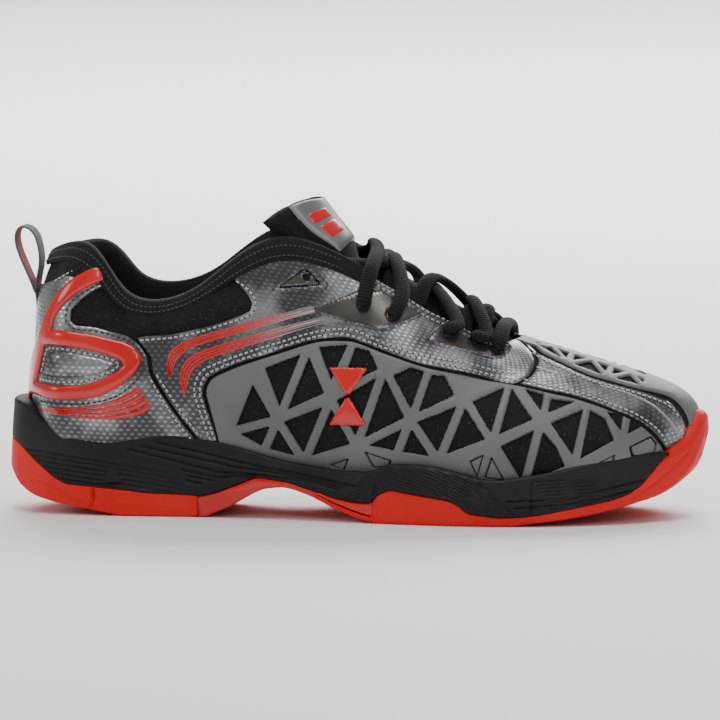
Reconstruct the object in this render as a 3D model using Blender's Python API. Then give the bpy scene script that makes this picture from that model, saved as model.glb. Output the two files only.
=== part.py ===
"""A right-foot indoor court shoe, built as its separate pieces.

Design coordinates are in millimetres: X from the heel to the toe, Y from the outer
(lateral) side to the inner (medial) side, Z up from the floor.
"""

import math

import bmesh
import bpy
import numpy as np
from mathutils import Vector
from mathutils.bvhtree import BVHTree

MM = 0.001
GAP = 0.35

# Outlines on the side of the shoe are drawn in a side view that is turned towards
# the toe and tilted down by these angles. on_wall() puts them on the shoe.
VIEW_TURN = math.radians(9.0)
VIEW_TILT = math.radians(5.5)
VIEW_GROUND_Y = -35.0
VIEW_GROUND_SLOPE = -0.115
VIEW_GROUND_X = 60.0

# Layers over the upper's form, as distances out from its surface.
BOOTIE = (-1.5, 0.0)
PANEL = (0.35, 1.25)
TRIM = (1.6, 2.7)
STIFFENER = (-3.3, -1.9)
PUFF = (-2.9, -1.9)

STEPS_PER_KEY = 2
ROWS = 8

OUTSOLE_FLOOR = 5.0
OUTSOLE_WALL = 5.0
LIP_START = 141.0
MIDSOLE_END = 290.5
FAR = 330.0
WIDE = 90.0
LACE_RADIUS = 1.6
FOOTBED_CAVITY_ROWS = 5
EYELET_RADIUS = 2.5

# Curves of the upper's form, each from the footbed up to the top line or throat.
# They run round the shoe: heel, lateral side, toe, medial side.
HEEL = [(17, 0, 24), (11.5, 0, 44), (12.5, 0, 68), (14, 0, 92), (20, 0, 110)]
LATERAL = [
    [(27, -25, 23.5), (23, -29.5, 44), (24, -30, 68), (27, -28, 92), (36, -22.5, 115.5)],
    [(40, -28.5, 22.5), (38, -33, 43), (38, -33.5, 64), (41, -31.5, 84), (50, -26.5, 103)],
    [(57, -30, 22), (57, -34, 42), (57, -34.5, 60), (58, -32, 77), (63, -28.5, 91.5)],
    [(97, -28, 22), (95, -33.5, 42), (93, -34, 62), (91, -31.5, 82), (89, -28, 98)],
    [(142, -33, 18.5), (140, -39, 40), (137, -38, 64), (131, -31.5, 92), (123, -24, 118.5)],
    [(187, -41, 14.5), (187, -46, 33), (184, -43, 56), (177, -33, 80), (168, -20.5, 100.5)],
    [(233, -42, 12), (233, -45.5, 30), (229, -40, 47), (217, -27, 63.5), (204, -16, 79.5)],
    [(270, -27, 17), (274, -30, 33), (267, -26.5, 48), (246, -19, 62.5), (219, -9.5, 75.5)],
]
TOE = [(291, 7, 24), (297.5, 8.5, 38), (288, 8, 52.5), (257, 5, 63), (224, 0.5, 76.5)]
MEDIAL = [
    [(278, 33, 19), (281, 36, 34), (273, 32, 50), (248, 20, 63.5), (221, 10.5, 76.5)],
    [(233, 46, 12), (233, 50, 31), (227, 44, 50), (214, 29, 66), (205, 16.5, 81)],
    [(187, 38.5, 14.5), (187, 43.5, 34), (182, 41, 58), (176, 31, 82), (168, 20.5, 102)],
    [(140, 27.5, 18.5), (138, 33.5, 40), (135, 34, 64), (129, 29.5, 92), (122, 23.5, 120.5)],
    [(97, 25.5, 22), (95, 31, 42), (93, 32.5, 62), (91, 30.5, 82), (87, 28, 100.5)],
    [(57, 29, 22), (57, 33.5, 42), (57, 34, 60), (58, 31.5, 77), (61, 28.5, 94.5)],
    [(40, 28, 22.5), (38, 32.5, 43), (38, 33, 64), (41, 31, 84), (49, 26.5, 103)],
    [(27, 25, 23.5), (23, 29.5, 44), (24, 30, 68), (27, 27.5, 90), (35, 22.5, 113)],
]

# The sole's outline from above.
SOLE_PLAN = [
    (0.5, 0), (6, -19), (20, -30), (45, -35), (80, -34.5), (112, -36), (145, -42),
    (178, -49), (208, -52), (235, -49.5), (262, -40), (284, -24), (299, -6), (306, 10),
    (300, 25), (284, 41), (262, 51), (235, 54), (205, 50.5), (175, 42.5), (145, 33.5),
    (112, 29), (80, 30.5), (45, 34.5), (20, 30), (6, 19),
]
# Height and inset of the sole's side wall.
SOLE_WALL = [(-4, 3.0), (12, 0), (36, 1.0), (64, 3.0)]

# Side-view outlines of the sole's pieces, in the turned view.
HEEL_RUBBER_TOP = [
    (-8, 31), (1.5, 33.5), (5, 29.5), (10, 24.5), (15, 20), (20, 16), (25, 13.5), (37, 12.5),
    (50, 11.5), (60, 10.5), (80, 10), (82, 9.5),
]
SHANK_TOP = [
    (82, 9.5), (90, 11.5), (95, 13.5), (100, 15.5), (107, 18.5), (112, 18), (120, 17),
    (130, 14), (140, 11), (150, 9), (157, 9),
]
FOREFOOT_RUBBER_TOP = [
    (157, 9.7), (160, 13), (165, 15), (170, 14), (190, 11), (194, 9), (198, 5.5), (210, 4.2),
    (220, 4.5), (230, 6), (250, 10.5), (260, 13), (268, 16), (273, 19.5), (277, 24), (281, 29),
    (285, 33.5),
]
BUMPER_TOP = [(285, 34.5), (290, 38), (295, 42), (299, 48), (302, 52.5), (312, 54)]
RIM = [
    (-8, 52), (6, 48), (10, 43.5), (15, 40), (20, 37.5), (25, 35), (30, 33), (35, 31.5), (40, 31),
    (47, 32), (60, 35), (66, 36), (72, 36), (90, 33.5), (100, 31), (110, 28), (120, 25.5),
    (140, 22.5), (155, 22), (163, 26), (180, 26), (190, 24), (200, 21.5), (205, 20.5), (210, 20),
    (230, 23.5), (250, 28.5), (270, 32.5), (280, 34),
]
SOLE_BOTTOM = [
    (-8, 30), (0, 23), (2.5, 16), (5, 12), (10, 8), (20, 5), (35, 2.4), (48, 0), (84, 0), (90, 3),
    (95, 5), (100, 8), (105, 11), (110, 13.5), (118, 14.5), (122, 14), (128, 12), (135, 9),
    (140, 6), (145, 4), (150, 2), (158, 0), (214, 0), (220, 1), (230, 2.5), (240, 4), (250, 6),
    (260, 8.5), (268, 11), (280, 15), (287, 19), (293, 24), (298, 31), (304, 45), (308, 52),
]


def clear_scene():
    for item in list(bpy.data.objects):
        bpy.data.objects.remove(item, do_unlink=True)
    for group in list(bpy.data.collections):
        bpy.data.collections.remove(group)


clear_scene()
SHOE = bpy.data.collections.new("court_shoe")
GUIDES = bpy.data.collections.new("cutters")
bpy.context.scene.collection.children.link(SHOE)
bpy.context.scene.collection.children.link(GUIDES)
FRAME = bpy.data.objects.new("shoe_frame", None)
SHOE.objects.link(FRAME)


def material(name, colour, roughness, metallic=0.0):
    found = bpy.data.materials.get(name)
    if found:
        return found
    made = bpy.data.materials.new(name)
    made.use_nodes = True
    shader = made.node_tree.nodes["Principled BSDF"]
    shader.inputs["Base Color"].default_value = (*colour, 1.0)
    shader.inputs["Roughness"].default_value = roughness
    shader.inputs["Metallic"].default_value = metallic
    made.diffuse_color = (*colour, 1.0)
    return made


RED_RUBBER = ("red_rubber", (0.9, 0.05, 0.04), 0.7)
RED_PLASTIC = ("red_plastic", (0.75, 0.02, 0.015), 0.3)
BLACK_FOAM = ("black_foam", (0.035, 0.035, 0.037), 0.75)
BLACK_MESH = ("black_mesh", (0.02, 0.02, 0.022), 0.9)
BLACK_FABRIC = ("black_fabric", (0.015, 0.015, 0.016), 0.95)
GREY_CAGE = ("grey_cage", (0.2, 0.215, 0.215), 0.6)
SILVER_WEAVE = ("silver_weave", (0.45, 0.46, 0.47), 0.35, 0.6)
SMOKE_PLATE = ("smoke_plate", (0.1, 0.09, 0.08), 0.3, 0.5)
BOARD = ("board", (0.5, 0.47, 0.42), 0.9)
AGLET = ("aglet_plastic", (0.02, 0.02, 0.02), 0.3)


def spline(keys, closed, samples):
    """Cubic curve through the keys with continuous curvature, at even steps per key."""
    keys = np.asarray(keys, float)
    count = len(keys)
    spans = count if closed else count - 1
    matrix = np.zeros((count, count))
    right = np.zeros_like(keys)
    for i in range(count):
        if not closed and i in (0, count - 1):
            matrix[i, i] = 1.0
            continue
        before, after = (i - 1) % count, (i + 1) % count
        matrix[i, before] += 1.0
        matrix[i, i] += 4.0
        matrix[i, after] += 1.0
        right[i] = 6.0 * (keys[before] - 2.0 * keys[i] + keys[after])
    bend = np.linalg.solve(matrix, right.reshape(count, -1)).reshape(keys.shape)
    points = []
    for t in samples:
        i = min(int(math.floor(t + 1e-9)), spans - 1)
        f = t - i
        a, b = keys[i], keys[(i + 1) % count]
        p, q = bend[i], bend[(i + 1) % count]
        g = 1.0 - f
        points.append(g * a + f * b + (g**3 - g) * p / 6.0 + (f**3 - f) * q / 6.0)
    return np.array(points)


KEYS = np.array([HEEL] + LATERAL + [TOE] + MEDIAL, float)
TOE_KEY = len(LATERAL) + 1
STATIONS = len(KEYS) * STEPS_PER_KEY


def form_points(around, up):
    """Points of the upper's form: around in key steps, up from 0 to 1."""
    columns = spline(KEYS, True, [a % len(KEYS) for a in around])
    rows = [u * (KEYS.shape[1] - 1) for u in up]
    return np.array([spline(column, False, rows) for column in columns])


def form_normals(around, up):
    """Outward unit normals of the form."""
    step = 0.02
    up = np.asarray(up, float)
    ahead = form_points([a + step for a in around], up)
    behind = form_points([a - step for a in around], up)
    high = np.clip(up + step, 2.0 * step, 1.0)
    low = high - 2.0 * step
    rise = form_points(around, high) - form_points(around, low)
    normal = np.cross(ahead - behind, rise)
    normal /= np.linalg.norm(normal, axis=2, keepdims=True)
    return normal


GRID_AROUND = [i / STEPS_PER_KEY for i in range(STATIONS)]
GRID_UP = [i / ROWS for i in range(ROWS + 1)]
GRID = form_points(GRID_AROUND, GRID_UP)
NORMALS = form_normals(GRID_AROUND, GRID_UP)


def layer(distance):
    return GRID + NORMALS * distance


def new_object(name, vertices, faces, look=None):
    """A mesh object from points in design millimetres, faces turned outwards."""
    mesh = bpy.data.meshes.new(name)
    mesh.from_pydata([Vector(v) * MM for v in vertices], [], faces)
    build = bmesh.new()
    build.from_mesh(mesh)
    bmesh.ops.recalc_face_normals(build, faces=build.faces)
    if build.calc_volume(signed=True) < 0:
        bmesh.ops.reverse_faces(build, faces=build.faces)
    build.to_mesh(mesh)
    build.free()
    item = bpy.data.objects.new(name, mesh)
    if look is None:
        GUIDES.objects.link(item)
        item.hide_render = True
        item.display_type = "WIRE"
    else:
        SHOE.objects.link(item)
        mesh.materials.append(material(*look))
    item.parent = FRAME
    return item


def cut(item, cutter, operation="DIFFERENCE"):
    change = item.modifiers.new(cutter.name, "BOOLEAN")
    change.operation = operation
    change.solver = "EXACT"
    change.object = cutter


def slab(name, inner, outer, look=None, ring=False):
    """A thick sheet between two grids of points, indexed along and across."""
    count, width = len(inner), len(inner[0])
    vertices = [p for grid in (inner, outer) for line in grid for p in line]
    faces = []
    for i in range(count if ring else count - 1):
        k = (i + 1) % count
        for j in range(width - 1):
            for base in (0, count * width):
                a, b = base + i * width + j, base + k * width + j
                faces += [(a, b, b + 1), (a, b + 1, a + 1)]
        for j in (0, width - 1):
            a, b = i * width + j, k * width + j
            faces.append((a, b, b + count * width, a + count * width))
    if not ring:
        for i in (0, count - 1):
            for j in range(width - 1):
                a = i * width + j
                faces.append((a, a + 1, a + 1 + count * width, a + count * width))
    return new_object(name, vertices, faces, look)


def patch(name, first_key, last_key, low, high, distances, look=None):
    """A piece of skin of the form: from key to key, rows low..high, between two offsets."""
    first, last = round(first_key * STEPS_PER_KEY), round(last_key * STEPS_PER_KEY)
    ring = last - first >= STATIONS
    columns = [i % STATIONS for i in range(first, last if ring else last + 1)]
    inner, outer = (layer(d)[columns][:, low : high + 1] for d in distances)
    return slab(name, inner, outer, look, ring)


def stacked(name, rings, look=None):
    """A solid from closed rings, bottom first, capped across from side to side."""
    count = len(rings[0])
    vertices = [point for ring in rings for point in ring]
    faces = []
    for r in range(len(rings) - 1):
        for i in range(count):
            j = (i + 1) % count
            a, b = r * count + i, r * count + j
            c, d = b + count, a + count
            faces += [(a, b, c), (a, c, d)]
    for base in (0, (len(rings) - 1) * count):
        for i in range(count // 2):
            a, b = base + i, base + i + 1
            c, d = base + (count - i - 1) % count, base + (count - i) % count
            if i == 0:
                faces.append((a, b, c))
            elif i == count // 2 - 1:
                faces.append((a, b, d))
            else:
                faces += [(a, b, c), (a, c, d)]
    return new_object(name, vertices, faces, look)


def prism(name, outline, y_low, y_high):
    """A cutter: an X-Z outline carried from y_low to y_high."""
    count = len(outline)
    vertices = [(x, y, z) for y in (y_low, y_high) for x, z in outline]
    faces = [tuple(range(count)), tuple(range(count, 2 * count))]
    faces += [(i, (i + 1) % count, count + (i + 1) % count, count + i) for i in range(count)]
    return new_object(name, vertices, faces)


def inset_ring(ring, distance):
    """A closed plan outline moved inwards by a distance."""
    ring = np.asarray(ring, float)
    along = np.roll(ring, -1, axis=0) - np.roll(ring, 1, axis=0)
    along /= np.linalg.norm(along, axis=1, keepdims=True)
    inwards = np.stack([-along[:, 1], along[:, 0]], axis=1)
    return ring + inwards * distance


# The turned side view.
VIEW_RIGHT = np.array([math.cos(VIEW_TURN), math.sin(VIEW_TURN)])


def view_to_shoe(x, z, y):
    """Where a point of the turned view lies on the plane at depth y."""
    real_x = (x - VIEW_RIGHT[1] * y) / VIEW_RIGHT[0]
    ground = VIEW_GROUND_Y + VIEW_GROUND_SLOPE * (real_x - VIEW_GROUND_X)
    return real_x, z / math.cos(VIEW_TILT) - math.sin(VIEW_TILT) * (y - ground)


def form_tree():
    vertices = [tuple(v) for v in layer(PANEL[0]).reshape(-1, 3)]
    width = ROWS + 1
    polygons = []
    for i in range(STATIONS):
        j = (i + 1) % STATIONS
        for r in range(ROWS):
            polygons.append((i * width + r, j * width + r, j * width + r + 1, i * width + r + 1))
    return BVHTree.FromPolygons(vertices, polygons)


TREE = form_tree()


def on_wall(outline, spare_y=-3.0):
    """Turned-view points placed on the lateral wall, as X-Z points."""
    placed = []
    for x, z in outline:
        near = view_to_shoe(x, z, -120.0)
        far = view_to_shoe(x, z, 120.0)
        start = Vector((near[0], -120.0, near[1]))
        way = Vector((far[0], 120.0, far[1])) - start
        hit = TREE.ray_cast(start, way.normalized())[0]
        if hit is None:
            placed.append(view_to_shoe(x, z, spare_y))
        else:
            placed.append((hit.x, hit.z))
    return placed


PLAN_STEPS = 2
PLAN = spline(SOLE_PLAN, True, [i / PLAN_STEPS for i in range(len(SOLE_PLAN) * PLAN_STEPS)])
LATERAL_PLAN = np.array(SOLE_PLAN[: SOLE_PLAN.index((306, 10)) + 1], float)


def on_sole(outline):
    """Turned-view points placed on the sole's lateral edge, as X-Z points."""
    placed = []
    for x, z in outline:
        y = -35.0
        for _ in range(6):
            real_x = view_to_shoe(x, z, y)[0]
            y = float(np.interp(real_x, LATERAL_PLAN[:, 0], LATERAL_PLAN[:, 1]))
        placed.append(view_to_shoe(x, z, y))
    return placed


def level(points, heights):
    """The points of an outline, with those it draws at height 0 put on the floor."""
    return [(p[0], 0.0) if h == 0 else p for p, h in zip(points, heights)]


def shifted(outline, lift):
    return [(x, z + lift) for x, z in outline]


BOTTOM = level(on_sole(SOLE_BOTTOM), [z for _, z in SOLE_BOTTOM])
BOTTOM_X = [p[0] for p in BOTTOM]
BOTTOM_Z = [p[1] for p in BOTTOM]
HEEL_TOP = on_sole(HEEL_RUBBER_TOP)
ARCH_TOP = on_sole(SHANK_TOP)
FORE_TOP = on_sole(FOREFOOT_RUBBER_TOP)
BUMPER = on_sole(BUMPER_TOP)
RIM_LINE = on_sole(RIM)


def bottom_between(low, high):
    """The sole's underside from x = low to x = high."""
    inside = [p for p in BOTTOM if low < p[0] < high]
    ends = [(x, float(np.interp(x, BOTTOM_X, BOTTOM_Z))) for x in (low, high)]
    return [ends[0]] + inside + [ends[1]]


def sole_block(name, inset, look):
    rings = []
    for height, wall in SOLE_WALL:
        ring = inset_ring(PLAN, wall + inset)
        rings.append([(x, y, height) for x, y in ring])
    return stacked(name, rings, look)


def grown_form(name, distance, rows):
    """The form's lowest rows grown by a distance, as a solid."""
    grown = layer(distance)
    return stacked(name, [list(grown[:, j]) for j in range(rows + 1)])


def sole_pieces():
    """Outsole rubber, shank and midsole, all cut from one block."""
    heel_end = HEEL_TOP[-1][0]
    shank_end = ARCH_TOP[-1][0]
    heel_side = prism("heel_side", bottom_between(-12, heel_end) + HEEL_TOP[::-1], -WIDE, WIDE)
    lip = shifted([p for p in ARCH_TOP if p[0] > LIP_START], -6.0)
    lip = [(x, max(z, np.interp(x, BOTTOM_X, BOTTOM_Z) + 2.5)) for x, z in lip]
    shank_outline = bottom_between(heel_end + GAP, LIP_START - GAP) + shifted(lip, GAP)
    shank_outline += ARCH_TOP[:0:-1] + [(heel_end + GAP, ARCH_TOP[0][1])]
    shank_side = prism("shank_side", shank_outline, -WIDE, WIDE)
    fore_outline = bottom_between(LIP_START, FAR) + BUMPER[::-1] + FORE_TOP[:0:-1]
    fore_outline += [(shank_end + GAP, FORE_TOP[0][1]), (shank_end + GAP, lip[-1][1])] + lip[::-1]
    fore_side = prism("fore_side", fore_outline, -WIDE, WIDE)

    pocket = sole_block("rubber_pocket", OUTSOLE_WALL, RED_RUBBER)
    as_guide(pocket)
    pocket_line = shifted(bottom_between(-12, FAR), OUTSOLE_FLOOR)
    pocket_side = prism("pocket_side", pocket_line + [(FAR, 90), (-12, 90)], -WIDE, WIDE)
    cut(pocket, pocket_side, "INTERSECT")

    outsole_heel = sole_block("outsole_heel", 0, RED_RUBBER)
    cut(outsole_heel, heel_side, "INTERSECT")
    cut(outsole_heel, pocket)
    outsole_forefoot = sole_block("outsole_forefoot", 0, RED_RUBBER)
    cut(outsole_forefoot, fore_side, "INTERSECT")
    cut(outsole_forefoot, pocket)
    shank = sole_block("shank_plate", 0, RED_PLASTIC)
    cut(shank, shank_side, "INTERSECT")

    lift = OUTSOLE_FLOOR + GAP
    under = shifted(bottom_between(-12, heel_end), lift)
    under += shifted([(heel_end, ARCH_TOP[0][1])] + ARCH_TOP[1:], GAP)
    under += shifted(bottom_between(shank_end + 2 * GAP, MIDSOLE_END), lift)
    midsole = sole_block("midsole", 0, BLACK_FOAM)
    nose = [(MIDSOLE_END, BUMPER[0][1] - GAP)]
    midsole_side = prism("midsole_side", under + nose + RIM_LINE[::-1], -WIDE, WIDE)
    cut(midsole, midsole_side, "INTERSECT")
    heel_floor = [(-12, -20), (heel_end, -20)]
    fore_floor = [(LIP_START, -20), (FAR, -20)]
    inner_block = sole_block("rubber_wall_inside", OUTSOLE_WALL + GAP, RED_RUBBER)
    as_guide(inner_block)
    heel_line = shifted(HEEL_TOP[::-1], GAP)
    fore_line = shifted(BUMPER[:0:-1] + FORE_TOP[:0:-1], GAP)
    fore_line += [(shank_end, FORE_TOP[0][1] + GAP), (shank_end, -20)]
    for word, outline in (("heel", heel_floor + heel_line), ("fore", fore_floor[1:] + fore_line)):
        wall = sole_block(f"rubber_wall_{word}", -3.0, RED_RUBBER)
        as_guide(wall)
        cut(wall, prism(f"rubber_wall_side_{word}", outline, -WIDE, WIDE), "INTERSECT")
        cut(wall, inner_block)
        cut(midsole, wall)
    cavity = grown_form("footbed_cavity", GAP, FOOTBED_CAVITY_ROWS)
    for piece in (midsole, outsole_forefoot):
        cut(piece, cavity)


def as_guide(item):
    """Makes a built solid a hidden cutter."""
    SHOE.objects.unlink(item)
    GUIDES.objects.link(item)
    item.hide_render = True
    item.display_type = "WIRE"


sole_pieces()

# Turned-view outlines of the upper's panels on the lateral side.
CAGE = [
    (93, 28), (90, 40), (87, 49), (85.5, 55), (88, 60.5), (92, 63), (100, 66.5), (110, 70),
    (120, 73.5), (130, 77), (137, 78.5), (145, 79), (150, 78.5), (163, 73.5), (180, 68),
    (200, 64.5), (220, 61), (240, 57), (250, 54.5), (260, 51), (268, 48), (274, 44), (279, 39),
    (283, 30), (260, 20), (180, 15), (110, 20),
]
BAND = [
    (221.5, 61.6), (240, 57.7), (250, 55.2), (260, 51.7), (268, 48.7), (275, 44.5), (280, 39),
    (283, 30), (297, 34), (296, 42), (290, 49), (285, 55), (280, 57), (270, 60), (250, 65),
    (240, 69), (230, 73.5), (226, 76), (223.5, 79),
]
COUNTER = [
    (-10, 30), (80, 30), (82, 34), (74, 43), (62, 62), (61, 68), (60, 71), (55, 76), (50, 78.5),
    (40, 81), (30, 82), (27.5, 84), (28, 88.5), (31, 92), (36, 96), (42, 99.5), (38, 109),
    (36, 110), (30, 107), (20, 101), (12.5, 97), (-10, 92),
]
QUARTER = [
    (83, 34), (75, 44), (63, 62.5), (62, 69), (56, 77.2), (60, 78), (70, 79), (80, 81), (90, 84),
    (100, 87.5), (105, 90), (106, 93), (104, 96.5), (95, 103.5), (104, 109), (112, 118), (124, 126),
    (152, 111), (170, 101), (190, 90), (205, 82), (221, 79.5), (219, 61.5), (200, 65.2),
    (180, 68.7), (163, 74.2), (150, 79.2), (145, 79.7), (137, 79.2), (130, 77.7), (120, 74.2),
    (110, 70.7), (100, 67.2), (92, 63.7), (87.4, 61), (84.8, 55), (86.3, 49), (89.3, 40), (92, 30),
]
HEEL_LOOP_TRIM = [
    (-10, 44), (8, 44), (10.5, 51.5), (20, 50), (30, 50), (40, 51.5), (47, 55), (52, 58.5),
    (56, 62.5), (58, 67), (58, 70), (56, 73), (50, 75.5), (40, 77.5), (30, 79), (19.5, 79.5),
    (21, 84.5), (24, 89.5), (31, 98), (36, 101), (41, 103), (39, 107.5), (30, 102.5), (24, 96),
    (17, 84), (13.5, 75), (-10, 75),
]
HEEL_WINDOW = [
    (12.5, 57.5), (20, 56), (28, 56), (36, 57), (43, 60), (48, 62.5), (50.5, 65), (50, 67),
    (45, 69.5), (38, 71), (30, 72.5), (20, 73.5), (16.5, 73.5),
]
FAN = [
    (15, 45.5), (30, 43), (40, 42), (50, 43.5), (60, 45), (64, 47), (64, 50), (61, 53),
    (57, 56.5), (53, 55), (44, 50.5), (30, 48),
]
STRIPE_REAR = [
    (70, 60), (69, 66), (69, 70), (72, 74), (76, 76), (85, 79.5), (100, 84), (110, 87.5),
    (118, 90), (121, 88.5), (110, 85), (100, 81), (90, 77.5), (82, 75), (77, 72), (74, 67), (72, 60),
]
STRIPE_FRONT = [
    (76.5, 54), (74.8, 60), (75.5, 65), (78.3, 69), (85, 73), (95, 76.5), (105, 80), (115, 83.5),
    (125, 87), (130, 88), (134, 86.5), (125, 84), (115, 80.5), (105, 77), (95, 73), (87, 70),
    (82, 66), (79, 60), (78.5, 54),
]
PLATES = {
    "top": [
        (115, 101), (128, 110.5), (130, 110), (137, 102.5), (136, 101.5), (117, 99.5),
    ],
    "middle": [
        (133, 92), (152, 99.5), (161, 99.5), (178, 90.5), (177.5, 89), (164, 83.5), (160, 83.5),
        (135, 90.5),
    ],
    "front": [
        (181.5, 79), (183, 82), (192, 88), (201, 86.5), (209, 81), (217, 76.5), (213, 72.5),
        (209, 72), (183, 77),
    ],
}
EYELETS = [(154, 94.5), (166, 89.5), (189, 83), (201, 79.5), (211, 75.5)]
EMBLEM = [
    (140, 43), (147.5, 43), (155, 43), (149, 54), (156, 66), (147.5, 66), (139, 66), (146, 54),
]

# Junctions of the cage's struts, and the open triangles between them.
JOINTS = {
    "a": (96, 38), "b": (106, 63), "c": (117, 44), "d": (130, 73), "e": (128.5, 26),
    "f": (140, 53.5), "g": (149, 77), "h": (163, 67.5), "i": (151, 33.5), "j": (174, 45.5),
    "k": (186, 28), "l": (197, 55), "m": (208.5, 37), "n": (215.5, 60.5), "o": (229.5, 46),
    "p": (221, 25), "q": (243.5, 30), "r": (250, 53), "s": (264, 41), "t": (267, 47.5),
    "u": (111, 30), "v": (175, 71), "w": (168, 30), "x": (182, 67), "y": (217, 62), "z": (232, 58),
}
WINDOWS = [
    "abc", "bcd", "cdf", "acu", "cue", "cef", "dfg", "efi", "fhi", "hij", "jvh", "jlx", "jlk",
    "ijw", "jkw", "klm", "lmn", "mno", "oyz", "mop", "ozr", "oqr", "qrs", "opq",
]
STRUT = 4.6


def polygon_area(outline):
    ring = np.asarray(outline)
    following = np.roll(ring, -1, axis=0)
    return 0.5 * float(np.sum(ring[:, 0] * following[:, 1] - following[:, 0] * ring[:, 1]))


def window_outline(names):
    """A triangle between three junctions, narrowed by half a strut on each edge."""
    corners = [np.array(JOINTS[n], float) for n in names]
    if polygon_area(corners) < 0:
        corners.reverse()
    lengths = [np.linalg.norm(corners[(i + 1) % 3] - corners[(i + 2) % 3]) for i in range(3)]
    middle = sum(c * w for c, w in zip(corners, lengths)) / sum(lengths)
    radius = 2.0 * polygon_area(corners) / sum(lengths)
    keep = 1.0 - 0.5 * STRUT / radius
    return [tuple(middle + (c - middle) * keep) for c in corners] if keep > 0.25 else None


SIDES = {"lateral": -1, "medial": 1}


def side_prism(name, outline, side):
    """A cutter through one side's wall, or through both sides for side 0."""
    placed = on_wall(outline)
    if side == 0:
        return prism(name, placed, -WIDE, WIDE)
    ends = sorted((side * WIDE, side * 0.5))
    return prism(name, placed, *ends)


def keys_for(side, first_key, last_key):
    """The same stretch of the form on either side, counted from the heel to the toe."""
    if side < 0:
        return first_key, last_key
    return len(KEYS) - last_key, len(KEYS) - first_key


SOLE_ZONE_OUTLINE = [(-20, -20), (-20, 60)] + shifted(RIM_LINE[1:], GAP) + shifted(BUMPER, GAP)
SOLE_ZONE = prism("sole_zone", SOLE_ZONE_OUTLINE + [(330, 60), (330, -20)], -WIDE, WIDE)


def overlay(name, outline, side, keys, rows, distances, look, trimmed=False):
    """A panel: a patch of skin cut to an outline drawn on the side of the shoe."""
    piece = patch(name, *keys_for(side, *keys), *rows, distances, look)
    cut(piece, side_prism(name + "_outline", outline, side), "INTERSECT")
    if trimmed:
        cut(piece, SOLE_ZONE)
    return piece


def eyelet_holes(name, side):
    """Round cutters through the layers at one side's eyelets."""
    holes = []
    for number, (x, z) in enumerate(EYELETS):
        centre, normal = wall_frame(x, z, side)
        across = normal.cross(Vector((1, 0, 0))).normalized()
        along = normal.cross(across)
        vertices = []
        for depth in (-9.0, 7.0):
            for k in range(10):
                turn = 2.0 * math.pi * k / 10
                spot = centre + normal * depth
                spot += (across * math.cos(turn) + along * math.sin(turn)) * EYELET_RADIUS
                vertices.append(spot)
        faces = [tuple(range(10)), tuple(range(10, 20))]
        faces += [(k, (k + 1) % 10, 10 + (k + 1) % 10, 10 + k) for k in range(10)]
        holes.append(new_object(f"{name}_{number}", vertices, faces))
    return holes


def wall_frame(x, z, side):
    """Centre and outward normal on one side's wall, for a point of the turned view."""
    real_x, real_z = on_wall([(x, z)])[0]
    start = Vector((real_x, side * 120.0, real_z))
    hit, normal, _, _ = TREE.ray_cast(start, Vector((0, -side, 0)))
    if normal.y * side < 0:
        normal = -normal
    return hit - normal * PANEL[0], normal


HOLES = {side: eyelet_holes(f"eyelet_{word}", side) for word, side in SIDES.items()}


def pierce(piece, sides, which=range(5)):
    for side in sides:
        for k in which:
            cut(piece, HOLES[side][k])


VAMP_EDGE = [
    (227.5, 77.5), (231, 74.8), (240.5, 70.2), (250.5, 66.2), (270, 61.2), (280.5, 58.2),
    (285.6, 56.2), (291, 50),
]
VAMP_FIRST_X = 231.0
VAMP_PITCH = 12.5
VAMP_STRUT = 4.0


def vamp_cage():
    """The lattice on top of the toe, with its open triangles cut from above."""
    piece = patch("vamp_cage", TOE_KEY - 2, TOE_KEY + 2, 2, ROWS, PANEL, GREY_CAGE)
    edge = on_wall(VAMP_EDGE)
    outline = edge + [(edge[-1][0] + 1, 140), (edge[0][0] - 1, 140)]
    cut(piece, prism("vamp_outline", outline, -WIDE, WIDE), "INTERSECT")
    cut(piece, SOLE_ZONE)
    for i in range(4):
        x = VAMP_FIRST_X + VAMP_PITCH * i
        middle, half = 1.0 + 1.2 * i, 11.0 - 1.3 * i
        for side in (-1, 1):
            base = x + (VAMP_PITCH - VAMP_STRUT if side > 0 else 0.0)
            tip = x + (0.0 if side > 0 else VAMP_PITCH - VAMP_STRUT)
            corners = [(x, middle + side * 1.6), (x + VAMP_PITCH - VAMP_STRUT, middle + side * 1.6)]
            corners.append((0.5 * (base + tip), middle + side * half))
            cutter = [(cx, cy, z) for z in (30.0, 120.0) for cx, cy in corners]
            faces = [(0, 1, 2), (3, 4, 5), (0, 1, 4, 3), (1, 2, 5, 4), (2, 0, 3, 5)]
            cut(piece, new_object(f"vamp_window_{i}_{side + 1}", cutter, faces))


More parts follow.
